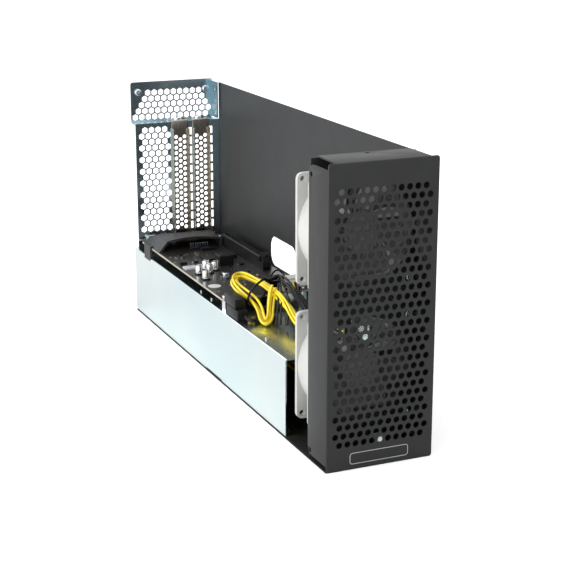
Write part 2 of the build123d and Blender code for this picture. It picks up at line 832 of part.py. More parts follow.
# Hood over the rear ports, with a leg hooked into the tray's edge
def hood_profile(y, x_left_low, x_left_top, x_right, z_low, z_top, drop, arch, inset=0.0):
    """One outline of the hood, its crown raised by the arch and shrunk by the inset."""
    top = z_top - inset
    a = (x_left_low + inset * 1.3, z_low)
    b = (x_left_top + inset * 0.5, top)
    c = (x_right - inset, top - drop)
    d = (x_right - inset, z_low)
    crown = ((b[0] + c[0]) / 2, (b[1] + c[1]) / 2 + arch)
    lines = Polyline(c, d, a, b).edges() + ThreePointArc(b, crown, c).edges()
    outline = make_face(lines)
    return Plane((0, front + y, 0), x_dir=(1, 0, 0), z_dir=(0, -1, 0)) * Pos(left, 0) * outline


def make_hood():
    low = board_top + lap
    front_size = (hood_left_low, hood_left_top, hood_right, low, hood_front_top, 1.8, hood_arch)
    back_size = (hood_left_low, hood_left_top + 4, hood_right + 6, low, hood_back_top, 0.6, 0.1)
    shell = loft([hood_profile(hood_near, *front_size), hood_profile(hood_back, *back_size)])
    front_size = (hood_left_low, hood_left_top, hood_right, low - 1, hood_front_top, 1.8, hood_arch)
    back_size = (hood_left_low, hood_left_top + 4, hood_right + 6, low - 1, hood_back_top, 0.6, 0.1)
    room = loft([hood_profile(hood_near - 1, *front_size, inset=hood_wall),
                 hood_profile(hood_back + 1, *back_size, inset=hood_wall)])
    hood = shell - room
    y1 = hood_leg_near + hood_leg_long
    hood += slab(0, hood_left_low + 2.2, hood_leg_near, y1, low, low + hood_wall)
    hood += slab(0, hood_wall, hood_leg_near, y1, hood_leg_low, low + hood_wall)
    return one_solid(hood)


# Light pipe
def make_light_pipe():
    x, z = light_place
    rod = Pos(left + x, z) * Circle(light_pipe / 2)
    head = prism_along_y(rod, 0, gauge)
    collar = Pos(left + x, z) * Circle(light_pipe / 2 + 1)
    return one_solid(head + prism_along_y(collar, gauge, gauge + light_pipe_long))


# Wires
def tube(points, thickness, closed=False):
    """A round lead that runs through the points, every corner as round as its two runs allow."""
    spots = [Vector(left + x, front + y, z) for x, y, z in points]
    count = len(spots)
    radii = []
    for k in range(count) if closed else range(1, count - 1):
        before = spots[k] - spots[k - 1]
        after = spots[(k + 1) % count] - spots[k]
        turn = math.radians(before.get_angle(after))
        radii.append(0.45 * min(before.length, after.length) / math.tan(turn / 2))
    path = FilletPolyline(*spots, radius=radii, close=closed)
    start = path.wire() ^ 0
    section = Plane(start.position, z_dir=start.z_axis.direction) * RegularPolygon(thickness / 2, 6)
    lead = sweep(section, path=path.wire())
    ratio = lead.volume / (section.area * path.wire().length)
    print(f"lead {thickness} mm thick, {path.wire().length:.0f} mm long, volume ratio {ratio:.3f}")
    print("radii", [round(r, 1) for r in radii])
    return one_solid(lead)


# Routes from the left side, the front face and the floor
yellow_route = ((35, 211, 30), (35, 176, 31), (35, 140, 29), (35, 100, 30), (34, 70, 37), (33, 61.3, 56),
                (32, 71, 71.5), (31.5, 96, 70), (32.5, 122, 72), (35.5, 147, 77), (38, 172, 79.5),
                (37, 197, 80), (34.5, 214, 80), (30, 229, 80), (21.5, 225, 79.3), (17.5, 210, 78),
                (17.5, 194, 76.6), (20, 180, 73.5), (20, 166, 69.4), (16, 153.5, 66.2), (18.2, 147, 65.1),
                (24.2, 147.2, 65.4), (26.5, 158.5, 70), (31, 169, 75))
black_route = ((44.5, 211, 30), (44.5, 176, 28), (46, 140, 30), (47, 100, 29), (46, 70, 37), (44.5, 61.3, 56),
               (43, 71, 71), (41.5, 98, 71), (41, 121, 75), (42, 141, 82.5), (43.5, 157, 86.8),
               (45, 175, 87.5), (48, 190, 86.5), (48, 206, 79))
board_route = ((54, 211, 30), (55, 176, 28), (57, 140, 30), (60, 102, 29), (60, 72, 36), (59, 61, 56),
               (57, 71.4, 72.4), (52, 102, 72.5), (49, 132, 74), (51, 160, 76), (57, 180, 76.2), (61.5, 197, 75.6))
plug_route = ((7, 170, 65), (7.5, 163, 64.6), (10.5, 158.2, 63.8), (14.8, 160, 63.4), (17.5, 166, 63.6),
              (23, 171.5, 65.5), (30, 171, 71))
tie_route = ((42.4, 198.3, 81.8), (35.3, 193.5, 86.8), (18.5, 182.2, 81.3), (14.4, 179.4, 72.7),
             (21.5, 184.2, 67.7), (38.3, 195.5, 73.2))


def make_gland():
    """Rubber bush in the power supply's front wall where the leads come out."""
    y = supply_front
    half = gland / 2
    low = gland_z - gland_tall / 2
    return slab(gland_x - half, gland_x + half, y - gland_long, y, low, low + gland_tall)


# Plugs
def block(x0, y0, z0, size, edge=plug_edge):
    """A moulded plug body with rounded long edges."""
    body = slab(x0, x0 + size[0], y0, y0 + size[1], z0, z0 + size[2])
    return fillet(body.edges().filter_by(Axis.Y), edge)


def make_card_plugs():
    """Two power plugs for the card, stacked on the tray in front of the board."""
    lower = block(card_plug_x, card_plug_near, tray_top, plug_size)
    upper = block(card_plug_x, card_plug_near + plug_step, tray_top + plug_size[2] + lap, plug_size)
    return [lower, upper]


def make_black_plug():
    return block(black_plug_x, board_near + black_plug_in, board_top, black_plug_size)


def make_board_plug():
    """Pale plug pushed into the board's power socket."""
    x = socket_x - socket_wide / 2 + socket_wall + lap
    size = (socket_wide - 2 * socket_wall - 2 * lap, socket_long, socket_tall - 2 * socket_wall - 2 * lap)
    return block(x, socket_near - plug_out, board_top + socket_wall + lap, size, 0.5)


parts = {
    "front_bezel": make_front_bezel,
    "base_shell": make_base_shell,
    "tray": make_tray,
    "rear_panel": make_rear_panel,
    "slot_cover_left": lambda: make_slot_cover(slot_middles()[1]),
    "slot_cover_right": lambda: make_slot_cover(slot_middles()[0]),
    "fan_plate": make_fan_plate,
    "cover_nuts": make_cover_nuts,
    "upper_fan_frame": lambda: make_fan_frame(fan_high),
    "lower_fan_frame": lambda: make_fan_frame(fan_low),
    "upper_fan_rotor": lambda: make_fan_rotor(fan_high),
    "lower_fan_rotor": lambda: make_fan_rotor(fan_low),
    "fan_screws": make_fan_screws,
    "plate_screws": make_plate_screws,
    "bracket_screws": make_bracket_screws,
    "supply_case": make_supply_case,
    "supply_fan_frame": make_supply_fan_frame,
    "supply_fan_rotor": make_supply_fan_rotor,
    "supply_screws": make_supply_screws,
    "mains_inlet": make_mains_inlet,
    "main_board": make_board,
    "board_standoffs": make_standoffs,
    "board_screws": make_board_screws,
    "card_slot": make_card_slot,
    "slot_latch": make_slot_latch,
    "controller_block": make_controller_block,
    "board_chips": make_chips,
    "can_capacitors": make_cans,
    "rear_ports": make_ports,
    "board_socket": make_board_socket,
    "port_hood": make_hood,
    "light_pipe": make_light_pipe,
    "cable_gland": make_gland,
    "yellow_lead": lambda: tube(yellow_route, bundle),
    "black_lead": lambda: tube(black_route, black_bundle),
    "board_lead": lambda: tube(board_route, board_bundle),
    "plug_lead": lambda: tube(plug_route, thin_bundle),
    "card_plugs": make_card_plugs,
    "black_plug": make_black_plug,
    "board_plug": make_board_plug,
    "hank_tie": lambda: tube(tie_route, tie, closed=True),
}

os.makedirs("parts", exist_ok=True)
for name, make in parts.items():
    made = make()
    if isinstance(made, list):
        made = Compound(children=[one_solid(piece) for piece in made])
    export_step(made, f"parts/{name}.step")
    print(name, round(made.volume), "mm3")
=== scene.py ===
import json
import math
import random
import bmesh
import bpy
from mathutils import Matrix, Vector

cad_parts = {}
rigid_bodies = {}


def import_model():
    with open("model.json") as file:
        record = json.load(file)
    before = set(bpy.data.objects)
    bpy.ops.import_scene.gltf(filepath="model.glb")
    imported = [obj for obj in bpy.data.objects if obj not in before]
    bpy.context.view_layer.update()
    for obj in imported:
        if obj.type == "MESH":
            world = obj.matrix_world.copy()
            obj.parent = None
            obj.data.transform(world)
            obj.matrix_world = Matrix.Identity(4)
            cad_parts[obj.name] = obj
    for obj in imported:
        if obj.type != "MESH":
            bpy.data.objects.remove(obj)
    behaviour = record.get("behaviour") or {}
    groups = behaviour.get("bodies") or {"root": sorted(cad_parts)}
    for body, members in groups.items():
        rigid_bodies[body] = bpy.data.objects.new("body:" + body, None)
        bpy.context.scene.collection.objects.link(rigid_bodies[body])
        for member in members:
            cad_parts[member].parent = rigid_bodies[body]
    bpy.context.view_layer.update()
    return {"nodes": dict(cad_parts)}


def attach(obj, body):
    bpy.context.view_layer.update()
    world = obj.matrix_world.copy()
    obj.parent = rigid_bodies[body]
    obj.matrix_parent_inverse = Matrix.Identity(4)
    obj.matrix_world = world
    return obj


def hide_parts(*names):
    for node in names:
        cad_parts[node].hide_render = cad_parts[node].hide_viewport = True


for obj in list(bpy.context.scene.objects):
    bpy.data.objects.remove(obj)
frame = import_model()
scene = bpy.context.scene
random.seed(7)

# sizes that several pieces share, in millimetres
case = {"width": 82.5, "depth": 426.0, "height": 216.0, "gauge": 1.0, "trayTop": 61.0,
        "boardTop": 70.6, "fanX": 41.2, "fanHigh": 160.5, "fanLow": 61.5, "fanFront": 31.0,
        "supplyFanX": 52, "supplyFanZ": 30.5}


def spot(x, y, z):  # millimetres from the left side, the front face and the floor
    return Vector((x - case["width"] / 2, y - case["depth"] / 2, z)) / 1000


# camera
view = {"place": (-0.4228, -1.0214, 0.3892), "aim": (0.3829, 0.8824, -0.2735), "lens": 88.84}


def makeCamera(values):
    lens = bpy.data.cameras.new("camera")
    lens.lens = values["lens"]
    lens.sensor_width = 36
    lens.clip_start = 0.01
    obj = bpy.data.objects.new("camera", lens)
    obj.location = values["place"]
    obj.rotation_euler = Vector(values["aim"]).to_track_quat("-Z", "Y").to_euler()
    scene.collection.objects.link(obj)
    scene.camera = obj


makeCamera(view)
print("camera")


# material helpers
def newMaterial(name, values):
    mat = bpy.data.materials.new(name)
    mat.use_nodes = True
    shader = mat.node_tree.nodes["Principled BSDF"]
    shader.inputs["Metallic"].default_value = values.get("metal", 0.0)
    shader.inputs["Specular IOR Level"].default_value = values.get("shine", 0.5)
    shader.inputs["Coat Weight"].default_value = values.get("coat", 0.0)
    shader.inputs["Coat Roughness"].default_value = values.get("coatRough", 0.1)
    return mat, mat.node_tree, shader


def objectCoords(tree, stretch=(1, 1, 1)):
    coords = tree.nodes.new("ShaderNodeTexCoord")
    mapping = tree.nodes.new("ShaderNodeMapping")
    mapping.inputs["Scale"].default_value = stretch
    tree.links.new(coords.outputs["Object"], mapping.inputs["Vector"])
    return mapping.outputs["Vector"]


def noise(tree, coords, scale, detail=3.0):
    node = tree.nodes.new("ShaderNodeTexNoise")
    node.inputs["Scale"].default_value = scale
    node.inputs["Detail"].default_value = detail
    tree.links.new(coords, node.inputs["Vector"])
    return node.outputs["Fac"]


def spread(tree, value, low, high, lowOut, highOut):
    node = tree.nodes.new("ShaderNodeMapRange")
    for name, number in (("From Min", low), ("From Max", high), ("To Min", lowOut), ("To Max", highOut)):
        node.inputs[name].default_value = number
    tree.links.new(value, node.inputs["Value"])
    return node.outputs["Result"]


def blendColours(tree, amount, first, second):
    node = tree.nodes.new("ShaderNodeMix")
    node.data_type = "RGBA"
    tree.links.new(amount, node.inputs["Factor"])
    for socket, colour in ((node.inputs[6], first), (node.inputs[7], second)):
        if isinstance(colour, tuple):
            socket.default_value = (*colour, 1)
        else:
            tree.links.new(colour, socket)
    return node.outputs[2]


def maths(tree, kind, first, second=0.0, third=0.0):
    node = tree.nodes.new("ShaderNodeMath")
    node.operation = kind
    for socket, value in zip(node.inputs, (first, second, third)):
        if isinstance(value, (int, float)):
            socket.default_value = value
        else:
            tree.links.new(value, socket)
    return node.outputs["Value"]


def addBump(tree, shader, height, strength, deep):
    node = tree.nodes.new("ShaderNodeBump")
    node.inputs["Strength"].default_value = strength
    node.inputs["Distance"].default_value = deep
    tree.links.new(height, node.inputs["Height"])
    tree.links.new(node.outputs["Normal"], shader.inputs["Normal"])


def grainFinish(name, values):  # clouds in the colour, a fine grain in the roughness and the surface
    mat, tree, shader = newMaterial(name, values)
    coords = objectCoords(tree, values.get("stretch", (1, 1, 1)))
    clouds = noise(tree, coords, values.get("cloudScale", 60), 4)
    grain = noise(tree, coords, values.get("grainScale", 2500), 2)
    colour = blendColours(tree, spread(tree, clouds, 0.3, 0.7, 0, 1), values["dark"], values["light"])
    tree.links.new(colour, shader.inputs["Base Color"])
    rough = values["rough"]
    swing = values.get("roughSwing", 0.05)
    tree.links.new(spread(tree, grain, 0.2, 0.8, rough - swing, rough + swing), shader.inputs["Roughness"])
    addBump(tree, shader, grain, values.get("bump", 0.2), values.get("bumpDeep", 0.00004))
    return mat


def zincFinish(name, values):  # bright plating with broad faint rainbow clouds and fine rolling lines
    mat, tree, shader = newMaterial(name, values)
    coords = objectCoords(tree)
    broad = noise(tree, objectCoords(tree, (9, 4, 7)), 1.0, 2)
    patch = noise(tree, coords, values["patchScale"], 5)
    rolled = noise(tree, objectCoords(tree, (1, 0.02, 1)), 1800, 2)
    ramp = tree.nodes.new("ShaderNodeValToRGB")
    ramp.color_ramp.elements[0].position = 0.3
    ramp.color_ramp.elements[1].position = 0.72
    ramp.color_ramp.elements[0].color = (*values["blue"], 1)
    ramp.color_ramp.elements[1].color = (*values["warm"], 1)
    middle = ramp.color_ramp.elements.new(0.5)
    middle.color = (*values["green"], 1)
    tree.links.new(broad, ramp.inputs["Fac"])
    dull = blendColours(tree, spread(tree, patch, 0.35, 0.75, 0, 0.35), ramp.outputs["Color"], values["dull"])
    tree.links.new(dull, shader.inputs["Base Color"])
    base = values["rough"]
    uneven = maths(tree, "ADD", spread(tree, patch, 0.3, 0.7, base - 0.04, base + 0.06),
                   spread(tree, rolled, 0.3, 0.7, -0.02, 0.02))
    tree.links.new(uneven, shader.inputs["Roughness"])
    addBump(tree, shader, rolled, 0.08, 0.00003)
    return mat


def boardFinish(name, values):  # solder mask over fine tracks, with plated through holes
    mat, tree, shader = newMaterial(name, values)
    coords = objectCoords(tree)
    parts = tree.nodes.new("ShaderNodeSeparateXYZ")
    tree.links.new(coords, parts.inputs["Vector"])
    bends = noise(tree, objectCoords(tree, (1, 1, 0)), values["bendScale"], 0)
    steps = maths(tree, "SNAP", bends, values["bendStep"])
    along = maths(tree, "ADD", parts.outputs["X"], maths(tree, "MULTIPLY", steps, values["bendReach"]))
    lines = maths(tree, "PINGPONG", maths(tree, "MULTIPLY", along, values["tracksPerMetre"]), 1.0)
    areas = noise(tree, objectCoords(tree, (1, 0.5, 0)), values["areaScale"], 1)
    covered = maths(tree, "GREATER_THAN", areas, 0.5)
    tracks = maths(tree, "MULTIPLY", maths(tree, "GREATER_THAN", lines, 0.55), covered)
    colour = blendColours(tree, tracks, values["mask"], values["track"])
    cells = tree.nodes.new("ShaderNodeTexVoronoi")
    cells.inputs["Scale"].default_value = values["viasPerMetre"]
    tree.links.new(coords, cells.inputs["Vector"])
    vias = maths(tree, "LESS_THAN", cells.outputs["Distance"], values["viaSize"])
    colour = blendColours(tree, vias, colour, values["via"])
    clouds = noise(tree, coords, values["cloudScale"], 3)
    colour = blendColours(tree, spread(tree, clouds, 0.3, 0.8, 0, 0.3), colour, values["haze"])
    tree.links.new(colour, shader.inputs["Base Color"])
    tree.links.new(spread(tree, clouds, 0.3, 0.7, values["rough"] - 0.04, values["rough"] + 0.08),
                   shader.inputs["Roughness"])
    addBump(tree, shader, tracks, 0.3, 0.00006)
    return mat


# colours are linear; each finish is a table of its own
grainValues = {
    "blackPaint": {"dark": (0.016, 0.0165, 0.0175), "light": (0.021, 0.0215, 0.0225), "rough": 0.46,
        "shine": 0.38, "grainScale": 2600, "bump": 0.22},
    "bracketSteel": {"metal": 1.0, "dark": (0.4, 0.36, 0.3), "light": (0.48, 0.44, 0.38), "rough": 0.24,
        "stretch": (1, 1, 0.03), "grainScale": 1800, "bump": 0.08},
    "supplySteel": {"metal": 1.0, "dark": (0.5, 0.51, 0.52), "light": (0.62, 0.63, 0.64), "rough": 0.4,
        "stretch": (1, 0.05, 1)},
    "screwSteel": {"metal": 1.0, "dark": (0.62, 0.66, 0.7), "light": (0.8, 0.83, 0.85), "rough": 0.22,
        "grainScale": 4000},
    "gold": {"metal": 1.0, "dark": (0.75, 0.52, 0.2), "light": (0.9, 0.66, 0.3), "rough": 0.25},
    "fanPlastic": {"dark": (0.5, 0.5, 0.485), "light": (0.57, 0.57, 0.55), "rough": 0.5, "bump": 0.12},
    # a dark copy of the fans' pale plastic: painted shade for frame faces seen through the panel's holes
    "fanShade": {"dark": (0.07, 0.07, 0.068), "light": (0.1, 0.1, 0.098), "rough": 0.55, "bump": 0.12},
    # darker grey than the frames' plastic: painted shade on rotors seen behind the panels
    "rotorPlastic": {"dark": (0.2, 0.2, 0.2), "light": (0.25, 0.25, 0.25), "rough": 0.4, "bump": 0.1},
    "blackPlastic": {"dark": (0.007, 0.007, 0.008), "light": (0.012, 0.012, 0.013), "rough": 0.4,
        "shine": 0.25, "bump": 0.25},
    "hoodPlastic": {"dark": (0.018, 0.018, 0.019), "light": (0.028, 0.028, 0.029), "rough": 0.5, "bump": 0.6,
        "grainScale": 1500},
    "palePlastic": {"dark": (0.7, 0.69, 0.64), "light": (0.8, 0.79, 0.75), "rough": 0.4},
    "lightPlastic": {"dark": (0.55, 0.57, 0.58), "light": (0.7, 0.72, 0.73), "rough": 0.25, "coat": 0.5},
    "boardEdge": {"dark": (0.34, 0.31, 0.25), "light": (0.5, 0.46, 0.38), "rough": 0.6, "stretch": (1, 1, 6)},
    "canAluminium": {"metal": 1.0, "dark": (0.72, 0.73, 0.74), "light": (0.84, 0.85, 0.86), "rough": 0.2},
    "ceramic": {"dark": (0.28, 0.2, 0.13), "light": (0.4, 0.31, 0.22), "rough": 0.4},
    "yellowWire": {"dark": (0.93, 0.7, 0.008), "light": (1.0, 0.8, 0.014), "rough": 0.3, "bump": 0.08,
        "coat": 0.2},
    "blackWire": {"dark": (0.006, 0.006, 0.0065), "light": (0.01, 0.01, 0.011), "rough": 0.22, "shine": 0.22,
        "bump": 0.08},
    "blackRubber": {"dark": (0.012, 0.012, 0.012), "light": (0.02, 0.02, 0.02), "rough": 0.6, "bump": 0.4},
    "paleInk": {"dark": (0.5, 0.5, 0.5), "light": (0.6, 0.6, 0.6), "rough": 0.5},
    "sticker": {"dark": (0.66, 0.66, 0.65), "light": (0.76, 0.76, 0.74), "rough": 0.35},
    "nutSteel": {"metal": 1.0, "dark": (0.3, 0.31, 0.32), "light": (0.4, 0.41, 0.42), "rough": 0.3},
}
zincValues = {
    "trayZinc": {"metal": 1.0, "rough": 0.18, "patchScale": 22, "blue": (0.66, 0.79, 0.83),
        "green": (0.77, 0.86, 0.855), "warm": (0.81, 0.84, 0.82), "dull": (0.68, 0.77, 0.81)},
    # the tray's plating again, bluer and partly darker: painted shade and a painted bluish reflection on the
    # rear panel
    "rearZinc": {"metal": 1.0, "rough": 0.15, "patchScale": 22, "blue": (0.5, 0.7, 0.82),
        "green": (0.64, 0.82, 0.88), "warm": (0.8, 0.87, 0.9), "dull": (0.54, 0.64, 0.7)},
    # a dark copy of the same plating: painted shade on the rear panel's tab and cut edges
    "edgeZinc": {"metal": 1.0, "rough": 0.2, "patchScale": 22, "blue": (0.2, 0.31, 0.37),
        "green": (0.25, 0.38, 0.43), "warm": (0.3, 0.4, 0.44), "dull": (0.2, 0.26, 0.3)},
}
boardValues = {
    "boardMask": {"mask": (0.02, 0.019, 0.0175), "track": (0.028, 0.0265, 0.024), "via": (0.2, 0.18, 0.13),
        "haze": (0.04, 0.037, 0.033), "rough": 0.3, "coat": 0.3, "tracksPerMetre": 2400, "viasPerMetre": 260,
        "bendScale": 45, "bendStep": 0.08, "bendReach": 0.02, "areaScale": 38, "viaSize": 0.13,
        "cloudScale": 30},
}
finishes = {}
for maker, table in ((grainFinish, grainValues), (zincFinish, zincValues), (boardFinish, boardValues)):
    for name, values in table.items():
        finishes[name] = maker(name, values)
print("materials")


# mesh helpers
def absorb(bm, part, place, slot):  # adds a part's mesh, moved to its place, to a piece's mesh
    for face in part.faces:
        face.material_index = slot
    part.transform(place)
    mesh = bpy.data.meshes.new("part")
    part.to_mesh(mesh)
    part.free()
    bm.from_mesh(mesh)
    bpy.data.meshes.remove(mesh)


def addBox(bm, low, high, edge=0.0, slot=0, segments=2):
    a, b = spot(*low), spot(*high)
    verts = bmesh.ops.create_cube(bm, size=1)["verts"]
    bmesh.ops.scale(bm, vec=b - a, verts=verts)
    bmesh.ops.translate(bm, vec=(a + b) / 2, verts=verts)
    faces = {face for vert in verts for face in vert.link_faces}
    for face in faces:
        face.material_index = slot
    if edge:
        edges = {side for face in faces for side in face.edges}
        bmesh.ops.bevel(bm, geom=list(edges), offset=edge / 1000, offset_type="OFFSET", segments=segments,
                        profile=0.5, affect="EDGES", material=-1)


def facing(place, direction, roll=0.0):  # lays local Z along a direction, its zero at a place in mm
    turn = Vector(direction).to_track_quat("Z", "Y").to_matrix().to_4x4()
    return Matrix.Translation(spot(*place)) @ turn @ Matrix.Rotation(roll, 4, "Z")


def addTurned(bm, profile, place, slot=0, steps=24):  # radius and height pairs in mm, spun round local Z
    part = bmesh.new()
    verts = [part.verts.new((r / 1000, 0, h / 1000)) for r, h in profile]
    edges = [part.edges.new(pair) for pair in zip(verts, verts[1:])]
    bmesh.ops.spin(part, geom=verts + edges, cent=(0, 0, 0), axis=(0, 0, 1), angle=2 * math.pi, steps=steps,
                   use_merge=True)
    bmesh.ops.remove_doubles(part, verts=part.verts, dist=1e-7)
    bmesh.ops.recalc_face_normals(part, faces=part.faces)
    absorb(bm, part, place, slot)


def circle(x, y, radius, steps=24):
    angles = [2 * math.pi * k / steps for k in range(steps)]
    return [(x + radius * math.cos(angle), y + radius * math.sin(angle)) for angle in angles]


def roundedBox(x0, x1, y0, y1, corner, steps=5):
    points = []
    centres = ((x1 - corner, y1 - corner), (x0 + corner, y1 - corner), (x0 + corner, y0 + corner),
               (x1 - corner, y0 + corner))
    for quarter, (x, y) in enumerate(centres):
        for k in range(steps + 1):
            angle = math.pi / 2 * (quarter + k / steps)
            points.append((x + corner * math.cos(angle), y + corner * math.sin(angle)))
    return points


def addLoop(bm, points, height):
    verts = [bm.verts.new((x / 1000, y / 1000, height / 1000)) for x, y in points]
    edges = [bm.edges.new((a, b)) for a, b in zip(verts, verts[1:] + verts[:1])]
    return verts, edges


def joinLoops(bm, first, second):
    count = len(first)
    for k in range(count):
        n = (k + 1) % count
        bm.faces.new((first[k], first[n], second[n], second[k]))


# a flat sheet from local height 0 up to its thickness; outline(inset) and each hole(grow) give closed loops
def addSheet(bm, outline, holes, thick, place, slot=0, soft=0.12, holeSoft=0.0, steps=2):
    part = bmesh.new()
    low, high = [], []
    quarter = [math.pi / 2 * k / steps for k in range(steps + 1)]
    for shape, edge in [(outline, soft)] + [(hole, holeSoft) for hole in holes]:
        verts, edges = addLoop(part, shape(0), 0)
        low += edges
        rings = [(0, thick)]
        if edge:
            rings = [(edge * (1 - math.cos(angle)), thick - edge * (1 - math.sin(angle))) for angle in quarter]
        for grow, height in rings:
            upper, edges = addLoop(part, shape(grow), height)
            joinLoops(part, verts, upper)
            verts = upper
        high += edges
    for edges in (low, high):
        bmesh.ops.triangle_fill(part, edges=edges, use_beauty=True, use_dissolve=False)
    bmesh.ops.recalc_face_normals(part, faces=part.faces)
    absorb(bm, part, place, slot)


def insetBox(x0, x1, y0, y1, corner):
    return lambda inset: roundedBox(x0 + inset, x1 - inset, y0 + inset, y1 - inset, max(corner - inset, 0.01))


def roundHole(x, y, radius, steps=24):
    return lambda grow: circle(x, y, radius + grow, steps)


def disc(radius, steps=28):
    return lambda inset: circle(0, 0, radius - inset, steps)


def rearward(y):  # local X and Y are the measured X and Z, local Z points to the front
    return Matrix.Translation(spot(0, y, 0)) @ Matrix.Rotation(math.pi / 2, 4, "X")


def sideways(x):  # local X and Y are the measured Y and Z, local Z points to the left
    return Matrix.Translation(spot(x, 0, 0)) @ Matrix(((0, 0, -1, 0), (1, 0, 0, 0), (0, 1, 0, 0), (0, 0, 0, 1)))


def upward(z):  # local X and Y are the measured X and Y
    return Matrix.Translation(spot(0, 0, z))


def makePiece(bm, name, materials, body="case", replaces=(), smooth=32):
    mesh = bpy.data.meshes.new(name)
    bm.to_mesh(mesh)
    bm.free()
    for material in materials:
        mesh.materials.append(finishes[material])
    mesh.shade_smooth()
    mesh.set_sharp_from_angle(angle=math.radians(smooth))
    obj = bpy.data.objects.new(name, mesh)
    scene.collection.objects.link(obj)
    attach(obj, body)
    if replaces:
        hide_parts(*replaces)
    return obj


def cross(arm, half):  # outline of a cross recess
    return lambda grow: [(half, arm), (-half, arm), (-half, half), (-arm, half), (-arm, -half), (-half, -half),
                         (-half, -arm), (half, -arm), (half, -half), (arm, -half), (arm, half), (half, half)]


def addScrew(bm, place, direction, values):  # pan head with a cross recess, its shank going the other way
    matrix = facing(place, direction, values["roll"])
    head, tall, deep = values["head"], values["tall"], values["recess"]
    addSheet(bm, disc(head), [], tall - deep, matrix, soft=0)
    lifted = matrix @ Matrix.Translation((0, 0, (tall - deep) / 1000))
    recess = cross(head * values["arm"], head * values["armHalf"])
    addSheet(bm, disc(head), [recess], deep, lifted, soft=deep * 0.8, steps=3)
    shank = [(0, 0), (values["shank"], 0), (values["shank"], values["long"]), (0, values["long"])]
    addTurned(bm, shank, facing(place, Vector(direction) * -1), steps=16)


# leads, each a listed route from the left side, the front face and the floor
routes = {
    "yellow": ((35, 211, 30), (35, 176, 31), (35, 140, 29), (35, 100, 30), (34, 70, 37), (33, 61.3, 56),
               (32, 71, 71.5), (31.5, 96, 70), (32.5, 122, 72), (35.5, 147, 77), (38, 172, 79.5), (37, 197, 80),
               (34.5, 214, 80), (30, 229, 80), (21.5, 225, 79.3), (17.5, 210, 78), (17.5, 194, 76.6),
               (20, 180, 73.5), (19.5, 166, 69.4), (16, 153, 66), (16.2, 145.5, 64.6), (21, 148.5, 66),
               (26, 160, 71.5), (31.5, 171, 77.5), (37, 179.5, 82)),
    "black": ((44.5, 211, 30), (44.5, 176, 28), (46, 140, 30), (47, 100, 29), (46, 70, 37), (44.5, 61.3, 56),
              (43, 71, 71), (41.5, 98, 71), (41, 121, 75), (42, 141, 82.5), (43.5, 157, 86.8), (45, 175, 87.5),
              (48, 190, 86.5), (48, 206, 79)),
    "board": ((54, 211, 30), (55, 176, 28), (57, 140, 30), (60, 102, 29), (60, 72, 36), (59, 61, 56),
              (57, 71.4, 72.4), (52, 102, 72.5), (49, 132, 74), (51, 160, 76), (57, 180, 76.2),
              (61.5, 197, 75.6)),
    "plug": ((7, 170, 65), (7.5, 163, 64.6), (10.5, 158.2, 63.8), (14.8, 160, 63.4), (17.5, 166, 63.6),
             (23, 171.5, 65.5), (30, 171, 71)),
    "tie": ((42.4, 198.3, 81.8), (35.3, 193.5, 86.8), (18.5, 182.2, 81.3), (14.4, 179.4, 72.7),
            (21.5, 184.2, 67.7), (38.3, 195.5, 73.2)),
}


def walkRoute(route, closed=False):  # close points along the smooth line that a route draws
    curve = bpy.data.curves.new("route", "CURVE")
    curve.dimensions = "3D"
    curve.resolution_u = 12
    spline = curve.splines.new("NURBS")
    spline.points.add(len(route) - 1)
    for point, place in zip(spline.points, route):
        point.co = (*spot(*place), 1)
    spline.order_u = 3
    if closed:
        spline.use_cyclic_u = True
    else:
        spline.use_endpoint_u = True
    obj = bpy.data.objects.new("route", curve)
    scene.collection.objects.link(obj)
    mesh = bpy.data.meshes.new_from_object(obj)
    path = [vert.co.copy() for vert in mesh.vertices]
    bpy.data.objects.remove(obj)
    bpy.data.curves.remove(curve)
    bpy.data.meshes.remove(mesh)
    return path


def pathLength(path):
    return sum((b - a).length for a, b in zip(path, path[1:]))


def sideFrames(path):  # two directions across the path at every point, carried along without twisting
    tangents = [(path[min(k + 1, len(path) - 1)] - path[max(k - 1, 0)]).normalized() for k in range(len(path))]
    side = tangents[0].orthogonal().normalized()
    frames = []
    for before, tangent in zip([tangents[0]] + tangents, tangents):
        side = before.rotation_difference(tangent) @ side
        side = (side - tangent * side.dot(tangent)).normalized()
        frames.append((side, tangent.cross(side)))
    return frames


strandWaves = {"swing": 0.5, "slow": 9, "fast": 23}


def strandPath(path, frames, k, values):  # one wire of a bundle, winding slowly and wandering
    count = values["strands"]
    length = pathLength(path)
    phases = [random.uniform(0, 2 * math.pi) for _ in range(3)]
    travelled = 0.0
    points = []
    for n, place in enumerate(path):
        if n:
            travelled += (place - path[n - 1]).length
        share = travelled / length
        loose = values["wander"] * math.sin(math.pi * min(1, share * 1.02)) ** 0.5
        swing = strandWaves["swing"] * math.sin(strandWaves["slow"] * share + phases[0])
        angle = 2 * math.pi * (k / count + values["turns"] * share) + swing
        reach = values["reach"] + loose * math.sin(strandWaves["fast"] * share + phases[1])
        side, up = frames[n]
        points.append(place + (side * math.cos(angle) + up * math.sin(angle)) * reach / 1000)
    return points


def tubeMesh(paths, radius, closed=False):  # one round tube along each path
    curve = bpy.data.curves.new("wire", "CURVE")
    curve.dimensions = "3D"
    curve.bevel_depth = radius / 1000
    curve.bevel_resolution = 3
    curve.use_fill_caps = not closed
    for path in paths:
        spline = curve.splines.new("POLY")
        spline.points.add(len(path) - 1)
        for point, place in zip(spline.points, path):
            point.co = (*place, 1)
        spline.use_cyclic_u = closed
    obj = bpy.data.objects.new("wire", curve)
    scene.collection.objects.link(obj)
    mesh = bpy.data.meshes.new_from_object(obj)
    bpy.data.objects.remove(obj)
    bpy.data.curves.remove(curve)
    return mesh


